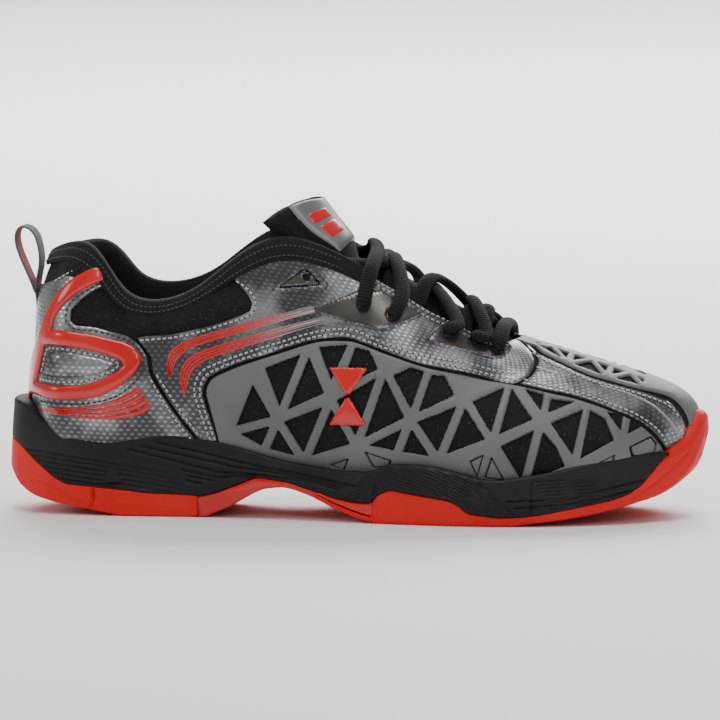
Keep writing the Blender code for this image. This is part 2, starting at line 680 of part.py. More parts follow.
def upper_pieces():
    vamp_cage()
    bootie = patch("mesh_bootie", 0, len(KEYS), 0, ROWS, BOOTIE, BLACK_MESH)
    pierce(bootie, (-1, 1))
    patch("heel_stiffener", -2.5, 2.5, 1, 4, STIFFENER, BOARD)
    patch("toe_stiffener", TOE_KEY - 1.5, TOE_KEY + 1.5, 1, 5, PUFF, BOARD)

    counter = patch("counter_panel", -4, 4, 1, ROWS, PANEL, SILVER_WEAVE)
    cut(counter, side_prism("counter_outline", COUNTER, 0), "INTERSECT")
    cut(counter, SOLE_ZONE)
    trim = patch("heel_trim", -3.5, 3.5, 1, ROWS - 1, TRIM, RED_PLASTIC)
    cut(trim, side_prism("heel_trim_outline", HEEL_LOOP_TRIM, 0), "INTERSECT")
    cut(trim, SOLE_ZONE)
    for word, side in SIDES.items():
        cut(trim, side_prism(f"heel_window_{word}", HEEL_WINDOW, side))

    windows = [outline for outline in map(window_outline, WINDOWS) if outline]
    for word, side in SIDES.items():
        cage = overlay(f"cage_{word}", CAGE, side, (3, 9), (1, 7), PANEL, GREY_CAGE, True)
        for number, outline in enumerate(windows):
            cut(cage, side_prism(f"window_{word}_{number}", outline, side))
        quarter = overlay(
            f"quarter_{word}", QUARTER, side, (2, 8), (1, ROWS), PANEL, SILVER_WEAVE, True
        )
        pierce(quarter, (side,))
        overlay(f"toe_band_{word}", BAND, side, (7, 9), (1, ROWS), PANEL, SILVER_WEAVE, True)
        overlay(f"heel_fan_{word}", FAN, side, (0, 4), (1, 5), TRIM, RED_PLASTIC, True)
        overlay(f"stripe_rear_{word}", STRIPE_REAR, side, (3, 6), (4, ROWS), TRIM, RED_PLASTIC)
        overlay(f"stripe_front_{word}", STRIPE_FRONT, side, (3, 6), (4, ROWS), TRIM, RED_PLASTIC)
        overlay(f"emblem_{word}", EMBLEM, side, (4, 7), (1, ROWS), TRIM, RED_PLASTIC)
        for place, outline in PLATES.items():
            name = f"eyelet_plate_{place}_{word}"
            plate = overlay(name, outline, side, (4, 8), (4, ROWS), TRIM, SMOKE_PLATE)
            if place != "top":
                pierce(plate, (side,), (0, 1) if place == "middle" else (2, 3, 4))


upper_pieces()

BOARD_LEVELS = (0.4, 2.0)
SOCKLINER_LEVELS = (2.4, 5.9)
FOOTBED_INSET = -4.3
FLEX_X = 185.0


def footbed_piece(name, levels, look):
    edge = layer(FOOTBED_INSET)[:, 0]
    return stacked(name, [[p + np.array([0, 0, z]) for p in edge] for z in levels], look)


def footbed_pieces():
    footbed_piece("insole_board", BOARD_LEVELS, BOARD)
    for name, low, high in (("heel", -20, FLEX_X - 0.5 * GAP), ("forefoot", FLEX_X + 0.5 * GAP, FAR)):
        piece = footbed_piece(f"sockliner_{name}", SOCKLINER_LEVELS, BLACK_FABRIC)
        outline = [(low, -20), (high, -20), (high, 90), (low, 90)]
        cut(piece, prism(f"sockliner_{name}_part", outline, -WIDE, WIDE), "INTERSECT")


COLLAR_END = 4.5
PAD_ROWS = (5, 7)
PAD_THICKNESS = 8.0
PAD_CROWN = 2.6
BINDING_END = 5.5
BINDING_LOW = 0.945
BINDING = (2.1, 2.9)


def collar_pieces():
    """The padded collar and the binding along its edge."""
    last = round(COLLAR_END * STEPS_PER_KEY)
    columns = [i % STATIONS for i in range(-last, last + 1)]
    low, high = PAD_ROWS
    outer = layer(-1.9)[columns]
    crown = layer(-1.9 - 0.4 * PAD_THICKNESS)[columns][:, ROWS]
    crown[:, 2] += PAD_CROWN
    depth = (0.4, 0.8, 1.0)
    inner = [layer(-1.9 - d * PAD_THICKNESS)[columns][:, low + k] for k, d in enumerate(depth)]
    outside = [outer[:, j] for j in range(low, high + 1)] + [crown]
    inside = inner + [crown - NORMALS[columns][:, ROWS] * 2.0]
    slab("collar_pad", np.stack(inside, axis=1), np.stack(outside, axis=1), BLACK_FABRIC)

    steps = round(2 * BINDING_END * STEPS_PER_KEY)
    around = [-BINDING_END + i / STEPS_PER_KEY for i in range(steps + 1)]
    up = [BINDING_LOW, 1.0]
    points, normals = form_points(around, up), form_normals(around, up)
    inner, outer = (points + normals * distance for distance in BINDING)
    slab("collar_binding", inner, outer, BLACK_FABRIC)


# The tongue: wings under the eyestays, a crest between them, and a free top.
TONGUE_DROP = 7.2
TONGUE_THICK = 3.0
TONGUE_CREST = [
    (130, 113.5), (152, 111), (170, 104), (188, 94.5), (200, 88), (214, 80), (226, 73),
]
TONGUE_START = 5.7
TONGUE_END = 8.35
FLAP = [
    [(150.5, 0, 117), (148.5, 12.5, 114.5), (144, 18, 108)],
    [(143.5, 0, 126.5), (138, 13.5, 123.5), (129.5, 19, 114)],
    [(138.5, 0, 133), (131, 14, 131), (119.5, 20, 122.5)],
    [(136, 0, 136), (127.5, 14, 135.5), (115, 20.5, 127)],
]
FLAP_THICK = 6.0
LABEL = (0.9, 1.8)
KEEPER = (0.5, 1.2)
KEEPER_KEYS = (6.2, 6.35)


def crest_height(x):
    xs, zs = zip(*TONGUE_CREST)
    return float(np.interp(x, xs, zs))


def throat_pair(key, up, distance):
    """The matching points on both throat edges, offset from the form."""
    around = [key, len(KEYS) - key]
    points = form_points(around, [up])[:, 0]
    normals = form_normals(around, [up])[:, 0]
    return points + normals * distance


def tongue_section(key, drop, thickness):
    wings = throat_pair(key, 0.84, -drop - thickness)
    edges = throat_pair(key, 0.985, -drop - thickness)
    centre = edges.mean(axis=0)
    centre[1] = edges[:, 1].mean()
    centre[2] = crest_height(centre[0]) - thickness
    shoulders = [edge * 0.5 + centre * 0.5 for edge in edges]
    for point, edge in zip(shoulders, edges):
        point[2] = edge[2] + 0.6 * (centre[2] - edge[2])
    return [wings[0], edges[0], shoulders[0], centre, shoulders[1], edges[1], wings[1]]


def flap_grid(thickness):
    """The free top of the tongue, moved in from its front face by a thickness."""
    lines = []
    for centre, shoulder, edge in FLAP:
        half = [np.array(p, float) for p in (edge, shoulder, centre)]
        line = [p * np.array([1, -1, 1]) for p in half] + half[1::-1]
        lines.append(line)
    lines = np.array(lines)
    along = np.gradient(lines, axis=0)
    across = np.gradient(lines, axis=1)
    normal = np.cross(along, across)
    normal /= np.linalg.norm(normal, axis=2, keepdims=True)
    if normal[0, 2, 0] < 0:
        normal = -normal
    return lines - normal * thickness


def tongue_pieces():
    steps = 10
    keys = [TONGUE_START + (TONGUE_END - TONGUE_START) * i / steps for i in range(steps + 1)]
    outer = [tongue_section(k, TONGUE_DROP, 0.0) for k in keys]
    inner = [tongue_section(k, TONGUE_DROP, TONGUE_THICK) for k in keys]
    slab("tongue_lower", inner, outer, BLACK_MESH)
    strip = [tongue_section(k, TONGUE_DROP, -KEEPER[0])[2:5] for k in KEEPER_KEYS]
    lift = [tongue_section(k, TONGUE_DROP, -KEEPER[1])[2:5] for k in KEEPER_KEYS]
    slab("lace_keeper", strip, lift, BLACK_FABRIC)
    slab("tongue_flap", flap_grid(FLAP_THICK), flap_grid(0.0), BLACK_MESH)
    face = flap_grid(-LABEL[0])
    label = [[line[1] * 0.9 + line[2] * 0.1, line[2] * 0.85 + line[1] * 0.15] for line in face[:3]]
    lift = flap_grid(-LABEL[1])
    top = [[line[1] * 0.9 + line[2] * 0.1, line[2] * 0.85 + line[1] * 0.15] for line in lift[:3]]
    slab("tongue_label", label, top, SILVER_WEAVE)


ANCHOR = [(10.5, 84), (10.5, 93.0), (11.8, 93.0), (11.8, 84)]
LOOP_OUTER = [
    (10.5, 94), (10.4, 96), (7.5, 102.5), (3.4, 112), (2.4, 118.5), (4.8, 122.8), (9.6, 122.4),
    (13.0, 118), (14.6, 111), (14.6, 105), (13.4, 100), (11.8, 97), (11.8, 94),
]
LOOP_INNER = [
    (11.2, 98), (8.6, 103.2), (4.6, 112.4), (3.7, 118.4), (5.3, 121.4), (9.2, 121), (12.0, 117.2),
    (13.4, 110.8), (13.4, 105.2), (12.4, 100.8),
]
LOOP_HALF_WIDTH = 6.0


def ribbon(name, outlines):
    flat = bpy.data.curves.new(name, "CURVE")
    flat.dimensions = "2D"
    flat.fill_mode = "BOTH"
    flat.extrude = LOOP_HALF_WIDTH * MM
    for outline in outlines:
        line = flat.splines.new("POLY")
        line.points.add(len(outline) - 1)
        for point, (x, z) in zip(line.points, outline):
            point.co = (x * MM, z * MM, 0.0, 1.0)
        line.use_cyclic_u = True
    flat.materials.append(material(*RED_PLASTIC))
    item = bpy.data.objects.new(name, flat)
    item.rotation_euler = (math.pi / 2.0, 0.0, 0.0)
    item.parent = FRAME
    SHOE.objects.link(item)


footbed_pieces()
collar_pieces()
tongue_pieces()
ribbon("pull_loop", (LOOP_OUTER, LOOP_INNER))
ribbon("pull_loop_anchor", (ANCHOR,))

LACE_UNDER = 4.05
LACE_OVER = 4.6
LACE_CROSS = (3.4, 7.2)
LONG_SPAN = 14.0
BAR = [(-12.0, 4.2), (-6.0, 5.4), (0.0, 5.8), (6.0, 5.4), (12.0, 4.4)]
AGLET_LENGTH = 12.0
AGLET_RADIUS = 1.9


def edge_key(x):
    """The key at which the lateral throat edge is at x."""
    keys = [TONGUE_START + 0.05 * i for i in range(60)]
    keys = [k for k in keys if k <= TOE_KEY - 0.6]
    xs = form_points(keys, [1.0])[:, 0, 0]
    return float(np.interp(x, xs, keys))


def lace_route():
    """Points of the lace by hand: tail, knot, down one side, the bar, up the other, tail."""
    frames = {side: [wall_frame(x, z, side) for x, z in EYELETS] for side in (-1, 1)}
    edges = {}
    for k, (centre, _) in enumerate(frames[-1]):
        edges[k] = edge_key(centre.x + (5.0 if k < 4 else -3.0))

    def through(side, k, outwards):
        centre, normal = frames[side][k]
        spots = [centre - normal * LACE_UNDER, centre, centre + normal * LACE_OVER]
        return [tuple(p) for p in (spots if outwards else reversed(spots))]

    def at_edge(side, key, distance, up=1.0):
        point = throat_pair(key, up, distance)[0 if side < 0 else 1]
        return tuple(point)

    def strand(side, k, high):
        """From the eyelet k on one side, over its edge, to under the other side at k - 1."""
        key, next_key = edges[k], edges[k - 1]
        x = 0.5 * (frames[side][k][0].x + frames[side][k - 1][0].x) + 3.0
        middle = (x, 0.0, crest_height(x) + LACE_CROSS[high])
        return [at_edge(side, key - 0.08, LACE_OVER), middle, at_edge(-side, next_key + 0.12, -LACE_UNDER)]

    def half(side):
        """From the bottom bar up one lace end, to the knot and its tucked tail."""
        points = []
        here = side
        points += through(here, 4, False)
        key = edges[4]
        points.append(at_edge(here, key - 0.3, -LACE_UNDER, 0.97))
        x = 0.5 * (frames[here][4][0].x + frames[here][3][0].x) - 1.0
        points.append((x, 0.0, crest_height(x) + LACE_CROSS[side > 0]))
        points.append(at_edge(-here, edges[3] - 0.15, -LACE_UNDER - 0.5, 0.98))
        here = -here
        points += through(here, 3, True)
        for k in (3, 2, 1):
            points += strand(here, k, side > 0)
            here = -here
            points += through(here, k - 1, True)
        points.append(at_edge(here, edges[0] - 0.1, LACE_OVER + 1.0))
        points += KNOT[side](here)
        for key, up in TAIL:
            points.append(at_edge(-here, key, -LACE_UNDER, up))
        return points

    bar_x = frames[-1][4][0].x + 2.0
    bar = [(bar_x, y, crest_height(bar_x) + z) for y, z in BAR]
    return half(-1)[::-1] + bar + half(1)


KNOT = {
    -1: lambda side: [(163, side * 7, 114.5), (160, -side * 4, 117), (157, -side * 10, 113.5)],
    1: lambda side: [(166, side * 7, 110), (166, -side * 4, 110.5), (163, -side * 10, 109)],
}
TAIL = [(5.55, 1.02), (5.5, 0.93), (5.65, 0.74), (6.0, 0.64), (6.4, 0.6), (6.8, 0.58)]


def along_route(points):
    """The route's points on a smooth curve, with one more between far neighbours."""
    samples = []
    for i, (here, there) in enumerate(zip(points[:-1], points[1:])):
        samples.append(i)
        if np.linalg.norm(np.subtract(there, here)) > LONG_SPAN:
            samples.append(i + 0.5)
    samples.append(len(points) - 1)
    return spline(points, False, samples)


def tube(name, points, radius, look):
    line = bpy.data.curves.new(name, "CURVE")
    line.dimensions = "3D"
    line.bevel_depth = radius * MM
    line.bevel_resolution = 2
    line.use_fill_caps = True
    strand_line = line.splines.new("POLY")
    strand_line.points.add(len(points) - 1)
    for target, point in zip(strand_line.points, points):
        target.co = (*(np.array(point) * MM), 1.0)
    line.materials.append(material(*look))
    item = bpy.data.objects.new(name, line)
    item.parent = FRAME
    SHOE.objects.link(item)


def laces():
    points = along_route(lace_route())
    tube("lace", points, LACE_RADIUS, BLACK_FABRIC)
    for name, tip, before in (("aglet_a", points[0], points[1]), ("aglet_b", points[-1], points[-2])):
        way = (tip - before) / np.linalg.norm(tip - before)
        tube(name, [tip + way * GAP, tip + way * (GAP + AGLET_LENGTH)], AGLET_RADIUS, AGLET)


laces()


def stand_on_origin():
    """Moves everything so that the origin is under the middle of the shoe, on the floor."""
    graph = bpy.context.evaluated_depsgraph_get()
    corners = []
    for item in SHOE.objects:
        if item.type != "EMPTY":
            shape = item.evaluated_get(graph).to_mesh()
            corners += [item.matrix_world @ v.co for v in shape.vertices]
    corners = np.array(corners)
    middle = 0.5 * (corners.min(axis=0) + corners.max(axis=0))
    FRAME.location = (-middle[0], -middle[1], -corners[:, 2].min())


stand_on_origin()
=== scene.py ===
"""A right-foot court shoe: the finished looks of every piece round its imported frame."""

import math

import bmesh
import bpy
import numpy as np
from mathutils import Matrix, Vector
from mathutils.bvhtree import BVHTree
from mathutils.geometry import delaunay_2d_cdt
from mathutils.kdtree import KDTree


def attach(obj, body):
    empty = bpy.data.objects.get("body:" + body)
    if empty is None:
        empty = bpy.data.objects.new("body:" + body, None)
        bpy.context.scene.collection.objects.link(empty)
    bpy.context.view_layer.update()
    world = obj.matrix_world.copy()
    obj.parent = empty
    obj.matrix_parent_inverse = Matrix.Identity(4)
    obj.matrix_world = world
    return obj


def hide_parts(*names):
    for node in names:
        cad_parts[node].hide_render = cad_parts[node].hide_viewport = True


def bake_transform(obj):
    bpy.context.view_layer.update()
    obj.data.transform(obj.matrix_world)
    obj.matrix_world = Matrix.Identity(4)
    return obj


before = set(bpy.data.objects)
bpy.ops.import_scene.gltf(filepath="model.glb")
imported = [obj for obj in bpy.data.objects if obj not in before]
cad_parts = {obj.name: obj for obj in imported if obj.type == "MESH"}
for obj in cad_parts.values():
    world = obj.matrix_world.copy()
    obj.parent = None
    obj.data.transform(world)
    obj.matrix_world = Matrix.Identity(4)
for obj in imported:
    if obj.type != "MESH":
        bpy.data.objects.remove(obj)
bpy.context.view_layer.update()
bpy.ops.object.select_all(action="DESELECT")

# ---- studio
# A plain pale floor, a broad soft light overhead, softer ones to the sides and one for the
# floor behind. The camera stands to the outer side of the shoe, a little ahead and above.
MM = 0.001
SHOE_MIDDLE = np.array([152.931, 1.0, 0.0])  # where the frame's origin lies on the drawings
VIEW_TURN = math.radians(9.0)
VIEW_TILT = math.radians(5.5)
GROUND_Y, GROUND_SLOPE, GROUND_X = -35.0, -0.115, 60.0
CAMERA_DISTANCE = 4.0
CAMERA_TARGET = (152.2, 70.3, -40.0)
FRAME_WIDTH = 0.3086


def to_drawing(x, y, z):
    """Where a point of the shoe shows on the turned side drawing."""
    ground = GROUND_Y + GROUND_SLOPE * (x - GROUND_X)
    across = x * math.cos(VIEW_TURN) + y * math.sin(VIEW_TURN)
    return across, (z + math.sin(VIEW_TILT) * (y - ground)) * math.cos(VIEW_TILT)


def from_drawing(x, z, y):
    """The point of the shoe at depth y that shows at (x, z) on the turned side drawing."""
    real_x = (x - math.sin(VIEW_TURN) * y) / math.cos(VIEW_TURN)
    ground = GROUND_Y + GROUND_SLOPE * (real_x - GROUND_X)
    return real_x, z / math.cos(VIEW_TILT) - math.sin(VIEW_TILT) * (y - ground)


def add_camera():
    x, z = from_drawing(*CAMERA_TARGET)
    target = Vector((np.array([x, CAMERA_TARGET[2], z]) - SHOE_MIDDLE) * MM)
    flat = math.cos(VIEW_TILT)
    way = Vector((math.sin(VIEW_TURN) * flat, -math.cos(VIEW_TURN) * flat, math.sin(VIEW_TILT)))
    bpy.ops.object.camera_add(location=target + way * CAMERA_DISTANCE)
    camera = bpy.context.object
    camera.rotation_euler = way.to_track_quat("Z", "Y").to_euler()
    camera.data.sensor_width = 36.0
    camera.data.lens = 36.0 * CAMERA_DISTANCE / FRAME_WIDTH
    camera.data.clip_end = 30.0
    bpy.context.scene.camera = camera


LIGHTS = {  # place, size, power and whether it turns to the shoe
    "top_light": ((0.1, -0.3, 1.5), 1.0, 13.0, True),
    "front_light": ((0.6, -1.5, 0.9), 0.8, 5.0, True),
    "heel_light": ((-1.3, -0.6, 0.7), 0.6, 3.5, True),
    "back_light": ((0.4, 1.5, 1.0), 1.0, 6.0, True),
    "floor_light": ((0.0, 2.6, 1.6), 3.0, 150.0, False),
}
ROOM_LIGHT = 0.3


def add_lights():
    for name, (place, size, power, turned) in LIGHTS.items():
        bpy.ops.object.light_add(type="AREA", location=place)
        light = bpy.context.object
        light.name = name
        light.data.shape = "DISK"
        light.data.size = size
        light.data.energy = power
        if turned:
            light.rotation_euler = Vector(place).to_track_quat("Z", "Y").to_euler()
    world = bpy.data.worlds.new("studio")
    world.use_nodes = True
    room = world.node_tree.nodes["Background"].inputs
    room["Color"].default_value = (1.0, 1.0, 1.0, 1.0)
    room["Strength"].default_value = ROOM_LIGHT
    bpy.context.scene.world = world


add_camera()
add_lights()


class Wire:
    """One output of a material's nodes, which works in ordinary sums."""

    def __init__(self, look, socket):
        self.look = look
        self.socket = socket

    def do(self, operation, other=None, third=None, swap=False):
        values = [self] if other is None else [other, self] if swap else [self, other]
        if third is not None:
            values.append(third)
        return self.look.node("ShaderNodeMath", {"operation": operation}, dict(enumerate(values)))

    def __add__(self, other):
        return self.do("ADD", other)

    __radd__ = __add__

    def __sub__(self, other):
        return self.do("SUBTRACT", other)

    def __rsub__(self, other):
        return self.do("SUBTRACT", other, swap=True)

    def __mul__(self, other):
        return self.do("MULTIPLY", other)

    __rmul__ = __mul__

    def __truediv__(self, other):
        return self.do("DIVIDE", other)

    def wave(self, length):
        return (self * (2 * math.pi / length)).do("SINE")


class Look:
    """A named material with its shader, and one method that adds any node."""

    def __init__(self, name, **constants):
        self.material = bpy.data.materials.new(name)
        self.material.use_nodes = True
        self.tree = self.material.node_tree
        self.shader = self.tree.nodes["Principled BSDF"]
        for socket, value in constants.items():
            self.set(socket.replace("_", " ").title().replace("Ior", "IOR"), value)

    def node(self, kind, settings, values, output=0):
        made = self.tree.nodes.new(kind)
        for key, value in settings.items():
            setattr(made, key, value)
        for key, value in values.items():
            self.put(made.inputs[key], value)
        return Wire(self, made.outputs[output])

    def put(self, socket, value):
        if isinstance(value, Wire):
            self.tree.links.new(value.socket, socket)
        elif socket.type == "RGBA" and len(value) == 3:
            socket.default_value = (*value, 1.0)
        else:
            socket.default_value = value

    def set(self, socket, value):
        self.put(self.shader.inputs[socket], value)

    def place(self, kind="Object"):
        return self.node("ShaderNodeTexCoord", {}, {}, kind)

    def parts(self, vector):
        outputs = self.node("ShaderNodeSeparateXYZ", {}, {0: vector}).socket.node.outputs
        return [Wire(self, outputs[k]) for k in range(3)]

    def noise(self, vector, scale, detail=3.0, rough=0.55):
        values = {"Vector": vector, "Scale": scale, "Detail": detail, "Roughness": rough}
        return self.node("ShaderNodeTexNoise", {}, values)

    def ramp(self, factor, low, high):
        """Smoothly 0 to 1 as the factor goes from low to high."""
        settings = {"interpolation_type": "SMOOTHSTEP"}
        return self.node("ShaderNodeMapRange", settings, {0: factor, 1: low, 2: high})

    def mix(self, factor, one, other):
        return self.node("ShaderNodeMix", {"data_type": "RGBA"}, {0: factor, 6: one, 7: other}, 2)

    def grain(self, scale):
        """Fine noise that keeps its place on the piece."""
        return self.noise(self.place(), scale, 2.0)

    def colour(self, factor, one, other):
        self.set("Base Color", self.mix(factor, one, other))

    def bump(self, height, distance, strength=1.0):
        values = {"Height": height, "Distance": distance, "Strength": strength}
        self.set("Normal", self.node("ShaderNodeBump", {}, values))


def add_floor():
    bpy.ops.mesh.primitive_plane_add(size=16.0)
    floor = bpy.context.object
    floor.name = "floor"
    look = Look("pale_floor", roughness=0.6)
    tone = look.noise(look.place(), 3.0)
    look.colour(tone, (0.9, 0.9, 0.9), (0.93, 0.93, 0.93))
    floor.data.materials.append(look.material)


add_floor()

# ---- the last
# The shape that the whole upper is pulled over. Its curves run round the shoe from the
# heel by the outer side to the toe and back, each from the footbed to the top line.
HEEL = [(17, 0, 24), (11.5, 0, 44), (12.5, 0, 68), (14, 0, 92), (20, 0, 110)]
LATERAL = [
    [(27, -25, 23.5), (23, -29.5, 44), (24, -30, 68), (27, -28, 92), (36, -22.5, 115.5)],
    [(40, -28.5, 22.5), (38, -33, 43), (38, -33.5, 64), (41, -31.5, 84), (50, -26.5, 103)],
    [(57, -30, 22), (57, -34, 42), (57, -34.5, 60), (58, -32, 77), (63, -28.5, 91.5)],
    [(97, -28, 22), (95, -33.5, 42), (93, -34, 62), (91, -31.5, 82), (89, -28, 98)],
    [(142, -33, 18.5), (140, -39, 40), (137, -38, 64), (131, -31.5, 92), (123, -24, 118.5)],
    [(187, -41, 14.5), (187, -46, 33), (184, -43, 56), (177, -33, 80), (168, -20.5, 100.5)],
    [(233, -42, 12), (233, -45.5, 30), (229, -40, 47), (217, -27, 63.5), (204, -16, 79.5)],
    [(270, -27, 17), (274, -30, 33), (267, -26.5, 48), (246, -19, 62.5), (219, -9.5, 75.5)],
]
TOE = [(291, 7, 24), (299, 8.5, 38), (293, 8, 53), (263, 5, 65), (224, 0.5, 76.5)]
MEDIAL = [
    [(278, 33, 19), (281, 36, 34), (273, 32, 50), (248, 20, 63.5), (221, 10.5, 76.5)],
    [(233, 46, 12), (233, 50, 31), (227, 44, 50), (214, 29, 66), (205, 16.5, 81)],
    [(187, 38.5, 14.5), (187, 43.5, 34), (182, 41, 58), (176, 31, 82), (168, 20.5, 102)],
    [(140, 27.5, 18.5), (138, 33.5, 40), (135, 34, 64), (129, 29.5, 92), (122, 23.5, 120.5)],
    [(97, 25.5, 22), (95, 31, 42), (93, 32.5, 62), (91, 30.5, 82), (87, 28, 100.5)],
    [(57, 29, 22), (57, 33.5, 42), (57, 34, 60), (58, 31.5, 77), (61, 28.5, 94.5)],
    [(40, 28, 22.5), (38, 32.5, 43), (38, 33, 64), (41, 31, 84), (49, 26.5, 103)],
    [(27, 25, 23.5), (23, 29.5, 44), (24, 30, 68), (27, 27.5, 90), (35, 22.5, 113)],
]
KEYS = np.array([HEEL] + LATERAL + [TOE] + MEDIAL, float)
KEY_COUNT = len(KEYS)
TOE_KEY = 9
PER_KEY = 24
UPS = 96
COLUMNS = KEY_COUNT * PER_KEY


def through(keys, closed, samples):
    """A smooth curve through the keys, at the given places counted in keys."""
    keys = np.asarray(keys, float)
    count = len(keys)
    spans = count if closed else count - 1
    matrix = np.zeros((count, count))
    right = np.zeros_like(keys)
    for i in range(count):
        if not closed and i in (0, count - 1):
            matrix[i, i] = 1.0
            continue
        before, after = (i - 1) % count, (i + 1) % count
        matrix[i, before] += 1.0
        matrix[i, i] += 4.0
        matrix[i, after] += 1.0
        right[i] = 6.0 * (keys[before] - 2.0 * keys[i] + keys[after])
    bend = np.linalg.solve(matrix, right.reshape(count, -1)).reshape(keys.shape)
    samples = np.asarray(samples, float)
    low = np.clip(np.floor(samples + 1e-9).astype(int), 0, spans - 1)
    part = samples - low
    shape = (-1,) + (1,) * (keys.ndim - 1)
    f = part.reshape(shape)
    g = 1.0 - f
    high = (low + 1) % count
    curved = (g**3 - g) * bend[low] + (f**3 - f) * bend[high]
    return g * keys[low] + f * keys[high] + curved / 6.0


def unit(vectors):
    """The same directions at length one."""
    return vectors / np.maximum(np.linalg.norm(vectors, axis=-1, keepdims=True), 1e-9)


def run_along(points):
    """The distance along a line up to each of its points."""
    return np.concatenate([[0.0], np.cumsum(np.linalg.norm(np.diff(points, axis=0), axis=1))])


def shape_the_last():
    columns = through(KEYS, True, np.arange(COLUMNS) / PER_KEY)
    rows = through(columns.transpose(1, 0, 2), False, np.arange(UPS + 1) / UPS * 4.0)
    points = rows.transpose(1, 0, 2)
    along = np.roll(points, -1, axis=0) - np.roll(points, 1, axis=0)
    rise = np.gradient(points, axis=1)
    return points, unit(np.cross(along, rise))


LAST, LAST_NORMALS = shape_the_last()
STEP_AROUND = np.linalg.norm(np.roll(LAST, -1, axis=0) - LAST, axis=2)
STEP_UP = np.linalg.norm(np.diff(LAST, axis=1), axis=2)
GIRTH = np.concatenate([[0.0], np.cumsum(STEP_AROUND[:, 40])])
HEIGHT = np.concatenate([np.zeros((COLUMNS, 1)), np.cumsum(STEP_UP, axis=1)], axis=1)


def last_tree():
    width = UPS + 1
    faces = []
    for i in range(COLUMNS):
        j = (i + 1) % COLUMNS
        for r in range(UPS):
            faces.append((i * width + r, j * width + r, j * width + r + 1, i * width + r + 1))
    return BVHTree.FromPolygons([tuple(p) for p in LAST.reshape(-1, 3)], faces)


TREE = last_tree()


def weigh(places):
    """Table corners and shares for places on the last, as (key, up) pairs."""
    places = np.asarray(places, float).reshape(-1, 2)
    a = (places[:, 0] % KEY_COUNT) * PER_KEY
    u = np.clip(places[:, 1], 0.0, 1.0) * UPS
    i = np.floor(a).astype(int)
    j = np.clip(np.floor(u).astype(int), 0, UPS - 1)
    return i % COLUMNS, (i + 1) % COLUMNS, j, (a - i)[:, None], (u - j)[:, None]


def table_at(table, places):
    i, k, j, f, g = weigh(places)
    low = (1 - f) * table[i, j] + f * table[k, j]
    high = (1 - f) * table[i, j + 1] + f * table[k, j + 1]
    return (1 - g) * low + g * high


def on_last(places, lift=0.0):
    """Points over the last at (key, up) places, lifted off it along its normals."""
    lift = np.broadcast_to(np.asarray(lift, float), (len(places),))[:, None]
    return table_at(LAST, places) + table_at(LAST_NORMALS, places) * lift


def cloth_uv(places):
    """Place on the skin in metres, round the shoe and up it, for woven patterns."""
    places = np.asarray(places, float)
    girth = np.interp(places[:, 0] % KEY_COUNT * PER_KEY, np.arange(COLUMNS + 1), GIRTH)
    height = table_at(HEIGHT[..., None], places)[:, 0]
    return np.column_stack([girth, height]) * MM


def place_of_hit(hit, index):
    """The (key, up) place of a ray's hit on the last."""
    i, r = divmod(index, UPS)
    j = (i + 1) % COLUMNS
    corner = LAST[i, r]
    along, rise = LAST[j, r] - corner, LAST[i, r + 1] - corner
    offset = np.array(hit) - corner
    f = float(np.dot(offset, along) / np.dot(along, along))
    g = float(np.dot(offset, rise) / np.dot(rise, rise))
    return (i + min(max(f, 0.0), 1.0)) / PER_KEY, (r + min(max(g, 0.0), 1.0)) / UPS


EDGE_PLACES = np.column_stack([np.linspace(0.0, 8.9, 400), np.ones(400)])
EDGE_DRAWN = np.array([to_drawing(*p) for p in on_last(EDGE_PLACES)])
BACK_PLACES = np.column_stack([np.zeros(100), np.linspace(0.0, 1.0, 100)])
BACK_DRAWN = np.array([to_drawing(*p) for p in on_last(BACK_PLACES)])
SOLE_PLACES = np.column_stack([np.linspace(0.0, 8.9, 300), np.zeros(300)])
SOLE_DRAWN = np.array([to_drawing(*p) for p in on_last(SOLE_PLACES)])


def on_outer_side(x, z):
    """The place on the last that shows at (x, z) on the turned side drawing."""
    near, far = from_drawing(x, z, -120.0), from_drawing(x, z, 120.0)
    start = Vector((near[0], -120.0, near[1]))
    way = Vector((far[0], 120.0, far[1])) - start
    hit, _, index, _ = TREE.ray_cast(start, way.normalized())
    if hit is not None:
        place = place_of_hit(hit, index)
        if place[0] <= TOE_KEY:
            return place
    lines = ((EDGE_PLACES, EDGE_DRAWN), (BACK_PLACES, BACK_DRAWN), (SOLE_PLACES, SOLE_DRAWN))
    gaps = [np.hypot(shown[:, 0] - x, shown[:, 1] - z) for _, shown in lines]
    closest = min(range(3), key=lambda k: gaps[k].min())
    return tuple(lines[closest][0][gaps[closest].argmin()])


def on_inner_side(place):
    """The place on the inner side that faces a place on the outer side."""
    key, up = place
    if up >= 0.999 or key <= 0.05 or key >= TOE_KEY - 0.05:
        return KEY_COUNT - key, up
    x, _, z = on_last([place])[0]
    hit, _, index, _ = TREE.ray_cast(Vector((x, 120.0, z)), Vector((0, -1, 0)))
    if hit is None:
        return KEY_COUNT - key, up
    found = place_of_hit(hit, index)
    return found if found[0] >= TOE_KEY else (KEY_COUNT - key, up)


def drawn(outline, side, snap=None):
    """Places on one side of the last for an outline on the turned side drawing."""
    places = [on_outer_side(x, z) for x, z in outline]
    if snap is not None:
        places = [(a, 1.0) if u > snap else (a, u) for a, u in places]
    if side > 0:
        places = [on_inner_side(place) for place in places]
    return places


